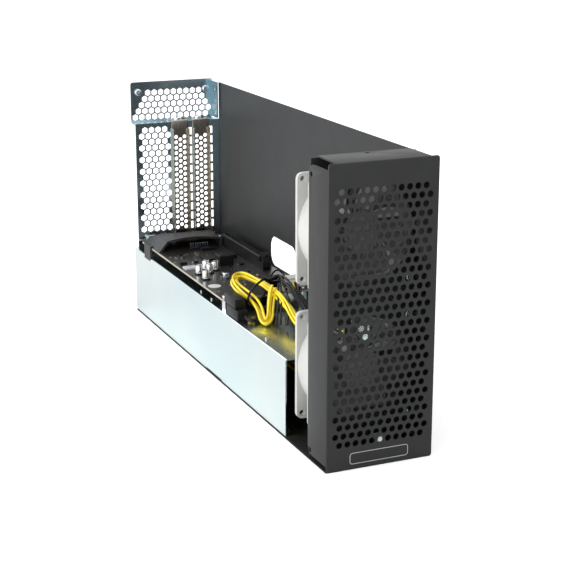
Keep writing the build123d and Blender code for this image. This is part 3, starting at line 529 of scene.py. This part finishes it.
def makeLead(name, route, values, nodeName):
    path = walkRoute(route)
    frames = sideFrames(path)
    bm = bmesh.new()
    for slot, strands in enumerate(values["colours"].values()):
        mesh = tubeMesh([strandPath(path, frames, k, values) for k in strands], values["radius"])
        count = len(bm.faces)
        bm.from_mesh(mesh)
        bm.faces.ensure_lookup_table()
        for face in bm.faces[count:]:
            face.material_index = slot
        bpy.data.meshes.remove(mesh)
    obj = makePiece(bm, name, list(values["colours"]), replaces=[nodeName], smooth=60)
    return obj, path


# ends of the tie, and single wires that hang beside the hank
tie = {"radius": 0.95, "wireRadius": 0.75}
tieTails = (((41, 198.5, 83), (46, 202, 88), (53, 208, 88), (58, 211, 84.5), (58.5, 207, 82.5)),
            ((41, 197.5, 83), (44, 193, 88), (50, 194, 87), (54, 198, 83)),
            ((42, 181, 84), (36, 167, 79), (29, 152, 72), (22, 139, 64)),
            ((44, 182, 84), (39, 166, 79.5), (31, 150, 73), (26, 139, 64)),
            ((46, 182, 84), (43, 166, 81), (38, 148, 75), (30, 136, 64)),
            ((39, 150, 77), (40, 142, 72), (38, 134, 64)))


def makeTie():
    bm = bmesh.new()
    loops = tubeMesh([walkRoute(routes["tie"], closed=True)], tie["radius"], closed=True)
    tails = tubeMesh([walkRoute(tail) for tail in tieTails], tie["wireRadius"])
    for mesh in (loops, tails):
        bm.from_mesh(mesh)
        bpy.data.meshes.remove(mesh)
    return makePiece(bm, "hankTie", ["blackWire"], replaces=["hank_tie"], smooth=60)


leads = {
    "yellow": {"strands": 4, "radius": 1.05, "reach": 2.3, "wander": 1.2, "turns": 1.2,
               "colours": {"yellowWire": (0, 1, 2, 3)}},
    "black": {"strands": 5, "radius": 0.8, "reach": 2.1, "wander": 0.9, "turns": 1.5,
              "colours": {"blackWire": (0, 1, 2, 3, 4)}},
    "board": {"strands": 8, "radius": 0.95, "reach": 2.9, "wander": 0.6, "turns": 0.8,
              "colours": {"blackWire": (0, 1, 2, 4, 5, 6), "yellowWire": (3, 7)}},
    "plug": {"strands": 3, "radius": 0.75, "reach": 1.2, "wander": 0.6, "turns": 0.6,
             "colours": {"blackWire": (0, 1, 2)}},
}
cordFacts = {
    "yellow": ("yellow_lead", "yellow_wire", 6.6, "object", "medium", "coiled"),
    "black": ("black_lead", "black_wire", 6.0, "connector", "medium", "loose"),
    "board": ("board_lead", "black_wire", 8.0, "connector", "medium", "loose"),
    "plug": ("plug_lead", "black_wire", 4.0, "object", "medium", "loose"),
}


# plugs at the leads' ends
plugs = {"lower": ((2.5, 170, 61.1), (11.5, 194, 69)), "upper": ((2.5, 175, 69.2), (11.5, 199, 77.1)),
         "black": ((42, 206, 70.7), (52, 218, 82.6)), "board": ((53.6, 197, 71.7), (69.4, 208, 79.5))}
plugDetail = {"edge": 0.7, "cellShare": 0.36, "cellThin": 0.02, "ribs": 3, "ribFrom": 9.2, "ribPitch": 4.2,
              "ribWide": 1.0, "ribThin": 0.5, "barIn": 2.8, "barFrom": 2.0, "barLong": 14.0, "barEdge": 0.2}


def addPlug(bm, low, high, cells, toRear):  # a moulded block with a grid of thin dark squares in its mouth, painted shade standing in for its hollow cells
    addBox(bm, low, high, edge=plugDetail["edge"])
    across, up = cells
    wide = (high[0] - low[0]) / across
    tall = (high[2] - low[2]) / up
    size = min(wide, tall) * plugDetail["cellShare"]
    thin = plugDetail["cellThin"]
    near, far = (high[1] - thin, high[1]) if toRear else (low[1], low[1] + thin)
    for i in range(across):
        for k in range(up):
            x = low[0] + wide * (i + 0.5)
            z = low[2] + tall * (k + 0.5)
            addBox(bm, (x - size, near, z - size), (x + size, far, z + size), slot=1)


def makePlugs():
    bm = bmesh.new()
    detail = plugDetail
    for key in ("lower", "upper"):
        low, high = plugs[key]
        addPlug(bm, low, high, (2, 2), True)
        for k in range(detail["ribs"]):
            y = low[1] + detail["ribFrom"] + detail["ribPitch"] * k
            addBox(bm, (low[0] + 0.02, y, low[2] + 1),
                   (low[0] + detail["ribThin"], y + detail["ribWide"], high[2] - 1))
        bar = low[1] + detail["barFrom"]
        addBox(bm, (low[0] + detail["barIn"], bar, high[2] - 0.4),
               (high[0] - detail["barIn"], bar + detail["barLong"], high[2] + 0.05), edge=detail["barEdge"])
    black = ["blackPlastic", "blackRubber"]
    cardPlugs = makePiece(bm, "cardPlugs", black, replaces=["card_plugs"])
    bm = bmesh.new()
    low, high = plugs["black"]
    addPlug(bm, low, high, (2, 2), False)
    addBox(bm, (low[0] + 3, low[1] + 1, high[2] - 0.3), (high[0] - 3, high[1] - 3, high[2] - 0.02),
           edge=detail["barEdge"])
    blackPlug = makePiece(bm, "blackPlug", black, replaces=["black_plug"])
    bm = bmesh.new()
    addPlug(bm, *plugs["board"], (4, 2), False)
    pale = ["palePlastic", "blackRubber"]
    boardPlug = makePiece(bm, "boardPlug", pale, replaces=["board_plug"])
    return {"plug": [cardPlugs], "black": [blackPlug], "board": [boardPlug], "yellow": []}


def makeLeads():
    ends = makePlugs()
    ends["yellow"].append(makeTie())
    for key, values in leads.items():
        node, slotName, diameter, farEnd, stiffness, lay = cordFacts[key]
        obj, path = makeLead(key + "Lead", routes[key], values, node)


makeLeads()


# perforated front panel
panel = {"hole": 2.28, "across": 6.27, "up": 6.33, "rows": 29, "shortRow": 11, "low": 19.2, "fold": 0.85,
         "corner": 2.0, "flangeDeep": 31.0, "inset": 4.5, "flangeCorner": 7.0, "topGap": 6.0, "screwBack": 27.0,
         "screwUp": 204.6, "screwLow": 8.0, "screwHole": 1.7, "sunk": 0.04, "lap": 0.1, "rightFlange": 81.4,
         "lidCorner": 0.6, "edge": 0.2, "holeEdge": 0.25, "screwEdge": 0.3}
badge = {"left": 17.9, "right": 63.3, "low": 4.0, "high": 12.4, "corner": 2.2, "line": 0.45}


def ventPlaces(values):
    for row in range(values["rows"]):
        count = values["shortRow"] + row % 2
        for column in range(count):
            yield (case["width"] / 2 + (column - (count - 1) / 2) * values["across"],
                   values["low"] + row * values["up"])


def flangeOutline(y0, y1, z0, z1, corner, steps=8):  # square at the front, rounded at the rear
    def outline(inset):
        radius = corner - inset
        points = [(y0 + inset, z0 + inset)]
        for x, z, start in ((y1 - corner, z0 + corner, -math.pi / 2), (y1 - corner, z1 - corner, 0)):
            points += [(x + radius * math.cos(start + math.pi / 2 * k / steps),
                        z + radius * math.sin(start + math.pi / 2 * k / steps)) for k in range(steps + 1)]
        return points + [(y0 + inset, z1 - inset)]
    return outline


def makeFrontPanel(values):
    bm = bmesh.new()
    width, height, gauge = case["width"], case["height"], case["gauge"]
    holes = [roundHole(x, z, values["hole"], 20) for x, z in ventPlaces(values)]
    face = insetBox(0, width, 0, height, values["corner"])
    addSheet(bm, face, holes, gauge - values["sunk"], rearward(gauge), soft=values["fold"],
             holeSoft=values["holeEdge"], steps=4)
    start, edge, screwEdge = gauge - values["lap"], values["edge"], values["screwEdge"]
    outline = flangeOutline(start, values["flangeDeep"], values["inset"], height - values["inset"],
                            values["flangeCorner"])
    heights = (values["screwLow"], values["screwUp"])
    screws = [roundHole(values["screwBack"], z, values["screwHole"]) for z in heights]
    addSheet(bm, outline, screws, gauge, sideways(gauge), soft=edge, holeSoft=screwEdge)
    addSheet(bm, outline, screws, gauge, sideways(values["rightFlange"]), soft=edge)
    gap = values["topGap"]
    lid = insetBox(gap, width - gap, start, values["flangeDeep"], values["lidCorner"])
    screw = roundHole(width / 2, values["screwBack"], values["screwHole"])
    addSheet(bm, lid, [screw], gauge, upward(height - gauge), soft=edge, holeSoft=screwEdge)
    addSheet(bm, lid, [], gauge, upward(gauge + values["lap"]), soft=edge)
    makePiece(bm, "frontPanel", ["blackPaint"], replaces=["front_bezel"])


def makeBadge(values):  # the bare outline of a badge
    bm = bmesh.new()
    box = (values["left"], values["right"], values["low"], values["high"])
    line = values["line"]
    hole = insetBox(box[0] + line, box[1] - line, box[2] + line, box[3] - line, values["corner"] - line)
    addSheet(bm, insetBox(*box, values["corner"]), [lambda grow: hole(-grow)], 0.05, rearward(0.055), soft=0)
    makePiece(bm, "badgeOutline", ["paleInk"])


makeFrontPanel(panel)
makeBadge(badge)
print("front panel")

# front fans and the power supply's fan
fanValues = {"size": 80.0, "deep": 25.0, "bore": 38.0, "barrel": 39.5, "flange": 3.6, "pitch": 71.5,
             "hole": 2.2, "hub": 15.0, "arm": 2.5, "armDeep": 3.0, "corner": 4.5, "blades": 7, "gap": 1.0,
             "rotorDeep": 20.6, "sweep": 0.35, "chord": 0.66}
supplyFan = {"size": 50.0, "deep": 15.0, "bore": 23.0, "barrel": 24.2, "flange": 3.0, "pitch": 40.0,
             "hole": 2.2, "hub": 11.0, "arm": 1.5, "armDeep": 2.0, "corner": 2.5, "blades": 7, "gap": 1.0,
             "rotorDeep": 11.6, "sweep": 0.3, "chord": 0.66}
bladeShape = {"thick": 1.2, "rise": 0.86, "belly": 1.4, "rootWide": 1.25, "narrowing": 0.35}


def addFanFrame(bm, values, place):  # drawn along local Z, its mouth at zero
    half = values["size"] / 2
    corners = [(i * values["pitch"] / 2, k * values["pitch"] / 2) for i in (-1, 1) for k in (-1, 1)]
    outline = insetBox(-half, half, -half, half, values["corner"])
    holes = [roundHole(0, 0, values["bore"], 72)] + [roundHole(x, y, values["hole"]) for x, y in corners]
    deep, flange = values["deep"], values["flange"]
    mirrored = place @ Matrix.Translation((0, 0, flange / 1000)) @ Matrix.Rotation(math.pi, 4, "X")
    addSheet(bm, outline, holes, flange, mirrored, soft=0.4)
    addSheet(bm, outline, holes, flange, place @ Matrix.Translation((0, 0, (deep - flange) / 1000)), soft=0.4)
    part = bmesh.new()
    rings = [addLoop(part, circle(0, 0, radius, 72), height)[0] for radius, height in
             ((values["bore"], flange - 0.05), (values["barrel"], flange - 0.05),
              (values["barrel"], deep - flange + 0.05), (values["bore"], deep - flange + 0.05))]
    for a, b in zip(rings, rings[1:] + rings[:1]):
        joinLoops(part, a, b)
    bmesh.ops.recalc_face_normals(part, faces=part.faces)
    absorb(bm, part, place, 0)
    lifted = Matrix.Translation((0, 0, (deep - values["armDeep"]) / 1000))
    for quarter in range(4):
        turn = Matrix.Rotation(math.pi / 2 * quarter, 4, "Z")
        arm = insetBox(values["hub"] - 1, values["bore"] + 0.4, -values["arm"], values["arm"], 0.3)
        addSheet(bm, arm, [], values["armDeep"], place @ turn @ lifted, soft=0.5)
    hub = place @ lifted
    addSheet(bm, disc(values["hub"], 48), [roundHole(0, 0, 1.56)], values["armDeep"], hub, soft=0.6)


def addBlade(bm, values, place, angle):  # a curved blade from the hub to just inside the barrel
    part = bmesh.new()
    rows, columns = 8, 7
    tip = values["bore"] - values["gap"]
    step = 2 * math.pi / values["blades"]
    grid = []
    for i in range(rows + 1):
        radius = values["hub"] - 0.5 + (tip - values["hub"] + 0.5) * i / rows
        share = i / rows
        line = []
        for k in range(columns + 1):
            along = k / columns - 0.5
            reach = step * values["chord"] * (bladeShape["rootWide"] - bladeShape["narrowing"] * share)
            turn = angle + along * reach + values["sweep"] * share ** 1.5
            height = values["rotorDeep"] * (0.5 + along * bladeShape["rise"])
            height += bladeShape["belly"] * (0.25 - along ** 2)
            line.append(part.verts.new((radius * math.cos(turn) / 1000, radius * math.sin(turn) / 1000,
                                        height / 1000)))
        grid.append(line)
    for a, b in zip(grid, grid[1:]):
        for k in range(columns):
            part.faces.new((a[k], a[k + 1], b[k + 1], b[k]))
    bmesh.ops.recalc_face_normals(part, faces=part.faces)
    bmesh.ops.solidify(part, geom=part.faces, thickness=bladeShape["thick"] / 1000)
    bmesh.ops.recalc_face_normals(part, faces=part.faces)
    absorb(bm, part, place, 0)


def makeFan(name, values, place, body, frameNode, rotorNode, front):
    bm = bmesh.new()
    addFanFrame(bm, values, place)
    toAxis = place.inverted()
    turned = toAxis.to_3x3()
    # faces in the bore and the mouth's front faces take the second finish: painted shade on the frame seen
    # through the panel
    for face in bm.faces:
        centre = toAxis @ face.calc_center_median()
        inside = math.hypot(centre.x, centre.y) * 1000 < values["bore"] + 0.5
        if inside or (turned @ face.normal).z < -0.5 and centre.z < 0.001:
            face.material_index = 1
    materials = ["fanPlastic", "fanShade"] if front else ["blackPlastic", "blackPlastic"]
    makePiece(bm, name + "Frame", materials, replaces=[frameNode])
    bm = bmesh.new()
    rotor = place @ Matrix.Translation((0, 0, values["gap"] / 1000))
    deep, hub = values["rotorDeep"], values["hub"]
    end = deep + values["armDeep"] + 0.4
    profile = [(0, 0), (hub - 1.6, 0), (hub - 0.5, 0.4), (hub, 1.5), (hub, deep - 0.3), (hub - 0.3, deep),
               (1.5, deep), (1.5, end), (0, end)]
    addTurned(bm, profile, rotor, steps=48)
    for k in range(values["blades"]):
        addBlade(bm, values, rotor, 2 * math.pi * k / values["blades"])
    makePiece(bm, name + "Rotor", ["rotorPlastic"], body=body, replaces=[rotorNode])


def fanPlace(x, y, z, forward=False):  # local Z to the rear, or to the front
    turn = Matrix.Rotation(math.pi / 2 if forward else -math.pi / 2, 4, "X")
    return Matrix.Translation(spot(x, y, z)) @ turn


makeFan("upperFan", fanValues, fanPlace(case["fanX"], case["fanFront"], case["fanHigh"]), "upper_fan",
        "upper_fan_frame", "upper_fan_rotor", True)
makeFan("lowerFan", fanValues, fanPlace(case["fanX"], case["fanFront"], case["fanLow"]), "lower_fan",
        "lower_fan_frame", "lower_fan_rotor", True)
supplyPlace = fanPlace(case["supplyFanX"], case["depth"] - 1, case["supplyFanZ"], forward=True)
makeFan("supplyFan", supplyFan, supplyPlace, "supply_fan", "supply_fan_frame", "supply_fan_rotor", False)
print("fans")

# blank slot covers with small round holes
cover = {"places": {"slot_cover_left": 42.58, "slot_cover_right": 62.9}, "half": 7.9, "low": 62.6,
         "high": 180.5, "gauge": 0.9, "back": 413.0, "lipBack": 424.9, "flange": 4.6, "flangeLow": 74.0,
         "flangeHigh": 173.0, "hole": 1.85, "across": 4.1, "up": 5.03, "top": 165.41, "rows": 18,
         "screwBack": 420.5, "screwHole": 1.7, "edge": 0.15}


def makeSlotCover(node, x, values):
    bm = bmesh.new()
    half, gauge = values["half"], values["gauge"]
    holes = []
    for row in range(values["rows"]):
        z = values["top"] - row * values["up"]
        holes += [roundHole(x + side * values["across"], z, values["hole"], 16) for side in (-1, 1)]
        if row:
            holes.append(roundHole(x, z + values["up"] / 2, values["hole"], 16))
    addSheet(bm, insetBox(x - half, x + half, values["low"], values["high"] - 0.2, 0.4), holes, gauge,
             rearward(values["back"]), soft=values["edge"])
    top = insetBox(x - half, x + half, values["back"] - gauge + 0.1, values["lipBack"], 1.0)
    screw = roundHole(x, values["screwBack"], values["screwHole"])
    addSheet(bm, top, [screw], gauge, upward(values["high"] - gauge), soft=values["edge"])
    side = insetBox(values["back"] - values["flange"], values["back"] - gauge + 0.1, values["flangeLow"],
                    values["flangeHigh"], 0.6)
    for edge in (x - half + gauge, x + half):
        addSheet(bm, side, [], gauge, sideways(edge), soft=values["edge"])
    makePiece(bm, "slotCover_" + node.split("_")[-1], ["bracketSteel"], replaces=[node])


for node, x in cover["places"].items():
    makeSlotCover(node, x, cover)
print("slot covers")

seam = {"low": (81.3, 412.3, 62.5), "high": (82.3, 413.4, 213.5)}


def makeSeam(values):  # a strip that closes the seam between the right wall and the rear panel
    bm = bmesh.new()
    addBox(bm, values["low"], values["high"], edge=0.15)
    makePiece(bm, "wallSeam", ["blackPaint"])


makeSeam(seam)

# screws
screwValues = {"head": 3.0, "tall": 2.0, "recess": 1.1, "shank": 1.5, "arm": 0.5, "armHalf": 0.13}
flatHead = {"tall": 1.0, "recess": 0.7}
corners = [(i, k) for i in (-1, 1) for k in (-1, 1)]
fanHalf, supplyHalf = fanValues["pitch"] / 2, supplyFan["pitch"] / 2
boardScrews = ((6, 204), (74, 204), (31, 269), (20, 392), (74, 396))
screwPlaces = {
    "plate_screws": [((x, 425, 206.8), (0, -1, 0), 1.0) for x in (6.9, 72.5)],
    "bracket_screws": [((x, cover["screwBack"], cover["high"]), (0, 0, 1), 3.9)
                       for x in cover["places"].values()],
    "board_screws": [((x, y, case["boardTop"]), (0, 0, 1), 1.6) for x, y in boardScrews],
    "fan_screws": [((case["fanX"] + i * fanHalf, 30, z + k * fanHalf), (0, -1, 0), 7.0)
                   for z in (case["fanLow"], case["fanHigh"]) for i, k in corners],
    "supply_screws": [((case["supplyFanX"] + i * supplyHalf, 425, case["supplyFanZ"] + k * supplyHalf),
                       (0, 1, 0), 3.0) for i, k in corners],
}


def makeScrews(node, places):
    bm = bmesh.new()
    for number, (place, direction, long) in enumerate(places):
        values = {**screwValues, "long": long, "roll": 0.4 + number}
        if node == "supply_screws":
            values.update(flatHead)
        addScrew(bm, place, direction, values)
    makePiece(bm, node.replace("_s", "S"), ["screwSteel"], replaces=[node])


for node, places in screwPlaces.items():
    makeScrews(node, places)
print("screws")

# board parts: cans, contacts, header, small chips, sticker
cans = {"places": ((11, 280), (10.5, 262), (20.5, 280), (21.5, 292), (28, 286.5)), "radius": 3.15,
        "tall": 7.7, "markReach": 0.8, "markFrom": 0.25}


def makeCans(values):
    bm = bmesh.new()
    r, tall = values["radius"], values["tall"]
    for x, y in values["places"]:
        base = case["boardTop"]
        addBox(bm, (x - r, y - r, base), (x + r, y + r, base + 1.1), edge=0.3, slot=1)
        profile = [(0, 0.4), (r * 0.94, 0.4), (r * 0.97, 0.9), (r * 0.97, 1.6), (r * 0.9, 1.9), (r * 0.97, 2.2),
                   (r * 0.97, tall - 0.5), (r * 0.9, tall), (r * 0.84, tall - 0.12), (0, tall - 0.12)]
        addTurned(bm, profile, facing((x, y, base), (0, 0, 1)), 0, 32)
        part = bmesh.new()
        rim = circle(0, 0, r * values["markReach"], 32)
        mark = sorted((point for point in rim if point[0] > r * values["markFrom"]), key=lambda point: point[1])
        part.faces.new([part.verts.new((px / 1000, py / 1000, 0)) for px, py in mark])
        bmesh.ops.recalc_face_normals(part, faces=part.faces)
        absorb(bm, part, Matrix.Translation(spot(x, y, base + tall - 0.08)), 1)
    makePiece(bm, "canCapacitors", ["canAluminium", "blackPlastic"], replaces=["can_capacitors"])


contacts = {"x": 68.5, "near": 276.0, "far": 363.0, "top": 81.8, "pitch": 1.0, "half": 0.9}


def makeContacts(values):  # sprung contacts down both sides of the card slot's groove
    bm = bmesh.new()
    count = int((values["far"] - values["near"] - 4) / values["pitch"])
    for k in range(count):
        y = values["near"] + 2 + k * values["pitch"]
        for side in (-1, 1):
            x = values["x"] + side * (values["half"] - 0.12)
            addBox(bm, (x - 0.14, y, values["top"] - 6), (x + 0.14, y + 0.5, values["top"] - 0.9))
    makePiece(bm, "slotContacts", ["gold"])


# what stands on the board already: left, right, near and far
boardBlocks = [(60, 77, 262, 368), (50, 74, 198, 218), (40, 54, 204, 220), (34, 51, 294, 310),
               (4, 17, 295, 306), (5, 13, 312, 319), (39, 55, 351, 358), (29, 43, 317, 331),
               (51, 62, 317, 333), (2, 10, 200, 208), (70, 78, 200, 208), (27, 35, 265, 273),
               (3.5, 16, 233, 246)]
boardBlocks += [(x - 4, x + 4, y - 4, y + 4) for x, y in cans["places"]]

small = {"count": 80, "zone": (4, 203, 60, 352), "apart": 0.4, "end": 0.35, "endProud": 0.06,
         "sizes": ((0.8, 1.6, 0.5), (1.2, 2.0, 0.6), (1.6, 3.2, 0.8), (3.0, 3.0, 1.0), (4.0, 5.0, 1.2)),
         "weights": (8, 8, 4, 2, 1)}


def clearOf(x, y, reach, boxes):
    return all(x + reach < x0 or x - reach > x1 or y + reach < y0 or y - reach > y1 for x0, x1, y0, y1 in boxes)


def makeSmallParts(values):  # resistors, ceramic capacitors and small chips soldered flat
    bm = bmesh.new()
    taken = list(boardBlocks)
    x0, y0, x1, y1 = values["zone"]
    placed = 0
    for _ in range(values["count"] * 6):
        wide, long, tall = random.choices(values["sizes"], weights=values["weights"])[0]
        if random.random() < 0.5:
            wide, long = long, wide
        x, y = round(random.uniform(x0, x1) * 2) / 2, round(random.uniform(y0, y1) * 2) / 2
        reach = max(wide, long) / 2 + values["apart"]
        if not clearOf(x, y, reach, taken):
            continue
        taken.append((x - reach, x + reach, y - reach, y + reach))
        base = case["boardTop"]
        body = 2 if max(wide, long) > 2.9 and tall > 0.9 else random.choice((1, 2))
        addBox(bm, (x - wide / 2, y - long / 2, base), (x + wide / 2, y + long / 2, base + tall), edge=0.08,
               slot=body, segments=1)
        end, proud = values["end"], values["endProud"]
        left, right, near, far = x - wide / 2, x + wide / 2, y - long / 2, y + long / 2
        if wide < long:
            ends = ((left, near, right, near + end), (left, far - end, right, far))
        else:
            ends = ((left, near, left + end, far), (right - end, near, right, far))
        for a, b, c, d in ends:
            addBox(bm, (a - proud, b - proud, base), (c + proud, d + proud, base + tall * 0.75), slot=0)
        placed += 1
        if placed == values["count"]:
            break
    makePiece(bm, "smallParts", ["screwSteel", "ceramic", "blackPlastic"])


header = {"x": 31.0, "near": 358.2, "deep": 2.5, "pins": 8, "pitch": 2.3, "tall": 6.5}


def makeHeader(values):  # a row of square pins in a black strip under the mouth of the hood
    bm = bmesh.new()
    base = case["boardTop"]
    far = values["x"] + values["pins"] * values["pitch"]
    addBox(bm, (values["x"], values["near"], base), (far, values["near"] + values["deep"], base + 2.2),
           edge=0.2, slot=1)
    for k in range(values["pins"]):
        x = values["x"] + (k + 0.5) * values["pitch"]
        y = values["near"] + values["deep"] / 2
        addBox(bm, (x - 0.45, y - 0.32, base + 2), (x + 0.45, y + 0.32, base + values["tall"]), edge=0.1)
    makePiece(bm, "headerPins", ["screwSteel", "blackPlastic"])


sticker = {"place": (9.8, 239.7), "radius": 5.4, "thick": 0.12}


def makeSticker(values):
    bm = bmesh.new()
    radius, thick = values["radius"], values["thick"]
    addTurned(bm, [(0, 0), (radius, 0), (radius, thick), (0, thick)],
              facing((*values["place"], case["boardTop"]), (0, 0, 1)), steps=48)
    makePiece(bm, "roundSticker", ["sticker"])


tongues = {"places": ((7.5, 119.1), (7, 234), (7, 258.6)), "half": 2.5, "halfLong": 1.2, "sunk": 0.4,
           "proud": 0.5, "lip": 0.8, "lipTall": 1.6, "edge": 0.3, "lipEdge": 0.25}


def makeTongues(values):  # small tongues pushed up out of the tray's top for cable ties
    bm = bmesh.new()
    top, half, long = case["trayTop"], values["half"], values["halfLong"]
    for x, y in values["places"]:
        addBox(bm, (x - half, y - long, top - values["sunk"]), (x + half, y + long, top + values["proud"]),
               edge=values["edge"])
        addBox(bm, (x - half, y - long, top), (x - half + values["lip"], y + long, top + values["lipTall"]),
               edge=values["lipEdge"])
    makePiece(bm, "trayTongues", ["trayZinc"])


makeCans(cans)
makeContacts(contacts)
makeSmallParts(small)
makeHeader(header)
makeSticker(sticker)
makeTongues(tongues)
print("board parts")

# finishes of the CAD nodes that show as they are
nodeFinishes = {
    "base_shell": "blackPaint", "tray": "trayZinc", "rear_panel": "rearZinc", "fan_plate": "blackPaint",
    "cover_nuts": "nutSteel", "supply_case": "supplySteel", "mains_inlet": "blackPlastic",
    "board_standoffs": "screwSteel", "card_slot": "blackPlastic", "slot_latch": "blackPlastic",
    "controller_block": "blackPlastic", "board_chips": "blackPlastic", "rear_ports": "screwSteel",
    "board_socket": "palePlastic", "port_hood": "hoodPlastic", "light_pipe": "lightPlastic",
    "cable_gland": "blackRubber",
}


# faces with painted light: the chip's top painted pale as a painted reflection of the glossy chip, and painted
# shade on the tab and cut edges of the rear panel
chipPaintedReflection = {"place": (10.5, 300.5), "halfWide": 6, "halfLong": 5}
rearShadeFaces = {"from": 80.2, "facing": 0.7}


def finishNodes():
    for name, obj in frame["nodes"].items():
        if obj.hide_render or name == "main_board":
            continue
        obj.data.materials.clear()
        obj.data.materials.append(finishes[nodeFinishes[name]])
    chips = frame["nodes"]["board_chips"].data
    chips.materials.append(finishes["lightPlastic"])
    # the chip's top takes the pale plastic: a painted reflection of the glossy chip
    for polygon in chips.polygons:
        place = (polygon.center - spot(*chipPaintedReflection["place"], case["boardTop"])) * 1000
        inside = abs(place.x) < chipPaintedReflection["halfWide"] and abs(place.y) < chipPaintedReflection["halfLong"]
        polygon.material_index = int(inside)
    rear = frame["nodes"]["rear_panel"].data
    rear.materials.append(finishes["edgeZinc"])
    tabSide = spot(rearShadeFaces["from"], 0, 0).x
    # sideways faces and the tab's cut edges take the dark zinc: painted shade
    for polygon in rear.polygons:
        shadedCutEdge = polygon.normal.y < -rearShadeFaces["facing"] and polygon.center.x > tabSide
        polygon.material_index = int(abs(polygon.normal.x) > rearShadeFaces["facing"] or shadedCutEdge)
    board = frame["nodes"]["main_board"].data
    board.materials.clear()
    for material in ("boardMask", "boardEdge"):
        board.materials.append(finishes[material])
    for polygon in board.polygons:
        polygon.material_index = 0 if abs(polygon.normal.z) > 0.5 else 1


finishNodes()
print("node finishes")

# studio
studio = {"world": 0.66, "floorShade": 0.9, "floorSeen": 1.55, "keyPlace": (0.6, -0.6, 1.9), "keySize": 2.2,
          "keyPower": 11, "fillPlace": (-1.9, -0.3, 0.5), "fillSize": 1.6, "fillPower": 38,
          "backPlace": (-0.6, 1.4, 1.3), "backSize": 1.0, "backPower": 6}


def makeWorld(values):
    world = bpy.data.worlds.new("studio")
    scene.world = world
    world.use_nodes = True
    tree = world.node_tree
    paths = tree.nodes.new("ShaderNodeLightPath")
    seen = maths(tree, "MAXIMUM", paths.outputs["Is Camera Ray"], paths.outputs["Is Transmission Ray"])
    seen = maths(tree, "MAXIMUM", seen, paths.outputs["Is Glossy Ray"])
    strength = spread(tree, seen, 0, 1, values["world"], 1.0)
    background = tree.nodes["Background"]
    background.inputs["Color"].default_value = (1, 1, 1, 1)
    tree.links.new(strength, background.inputs["Strength"])


def makeFloor(values):
    bm = bmesh.new()
    bmesh.ops.create_grid(bm, x_segments=1, y_segments=1, size=8)
    mesh = bpy.data.meshes.new("floor")
    bm.to_mesh(mesh)
    bm.free()
    mat = bpy.data.materials.new("floorWhite")
    mat.use_nodes = True
    tree = mat.node_tree
    tree.nodes.remove(tree.nodes["Principled BSDF"])
    diffuse = tree.nodes.new("ShaderNodeBsdfDiffuse")
    paths = tree.nodes.new("ShaderNodeLightPath")
    shade = spread(tree, paths.outputs["Is Camera Ray"], 0, 1, values["floorShade"], values["floorSeen"])
    colour = tree.nodes.new("ShaderNodeCombineColor")
    for socket in colour.inputs[:3]:
        tree.links.new(shade, socket)
    tree.links.new(colour.outputs["Color"], diffuse.inputs["Color"])
    tree.links.new(diffuse.outputs["BSDF"], tree.nodes["Material Output"].inputs["Surface"])
    mesh.materials.append(mat)
    obj = bpy.data.objects.new("floor", mesh)
    scene.collection.objects.link(obj)


def addLamp(name, place, size, power):
    lamp = bpy.data.lights.new(name, "AREA")
    lamp.size = size
    lamp.energy = power
    obj = bpy.data.objects.new(name, lamp)
    obj.location = place
    obj.rotation_euler = (Vector((0, 0, 0.1)) - Vector(place)).to_track_quat("-Z", "Y").to_euler()
    scene.collection.objects.link(obj)


makeWorld(studio)
makeFloor(studio)
for lamp in ("key", "fill", "back"):
    addLamp(lamp, studio[lamp + "Place"], studio[lamp + "Size"], studio[lamp + "Power"])
scene.view_settings.view_transform = "Standard"
print("studio")

bpy.context.view_layer.update()
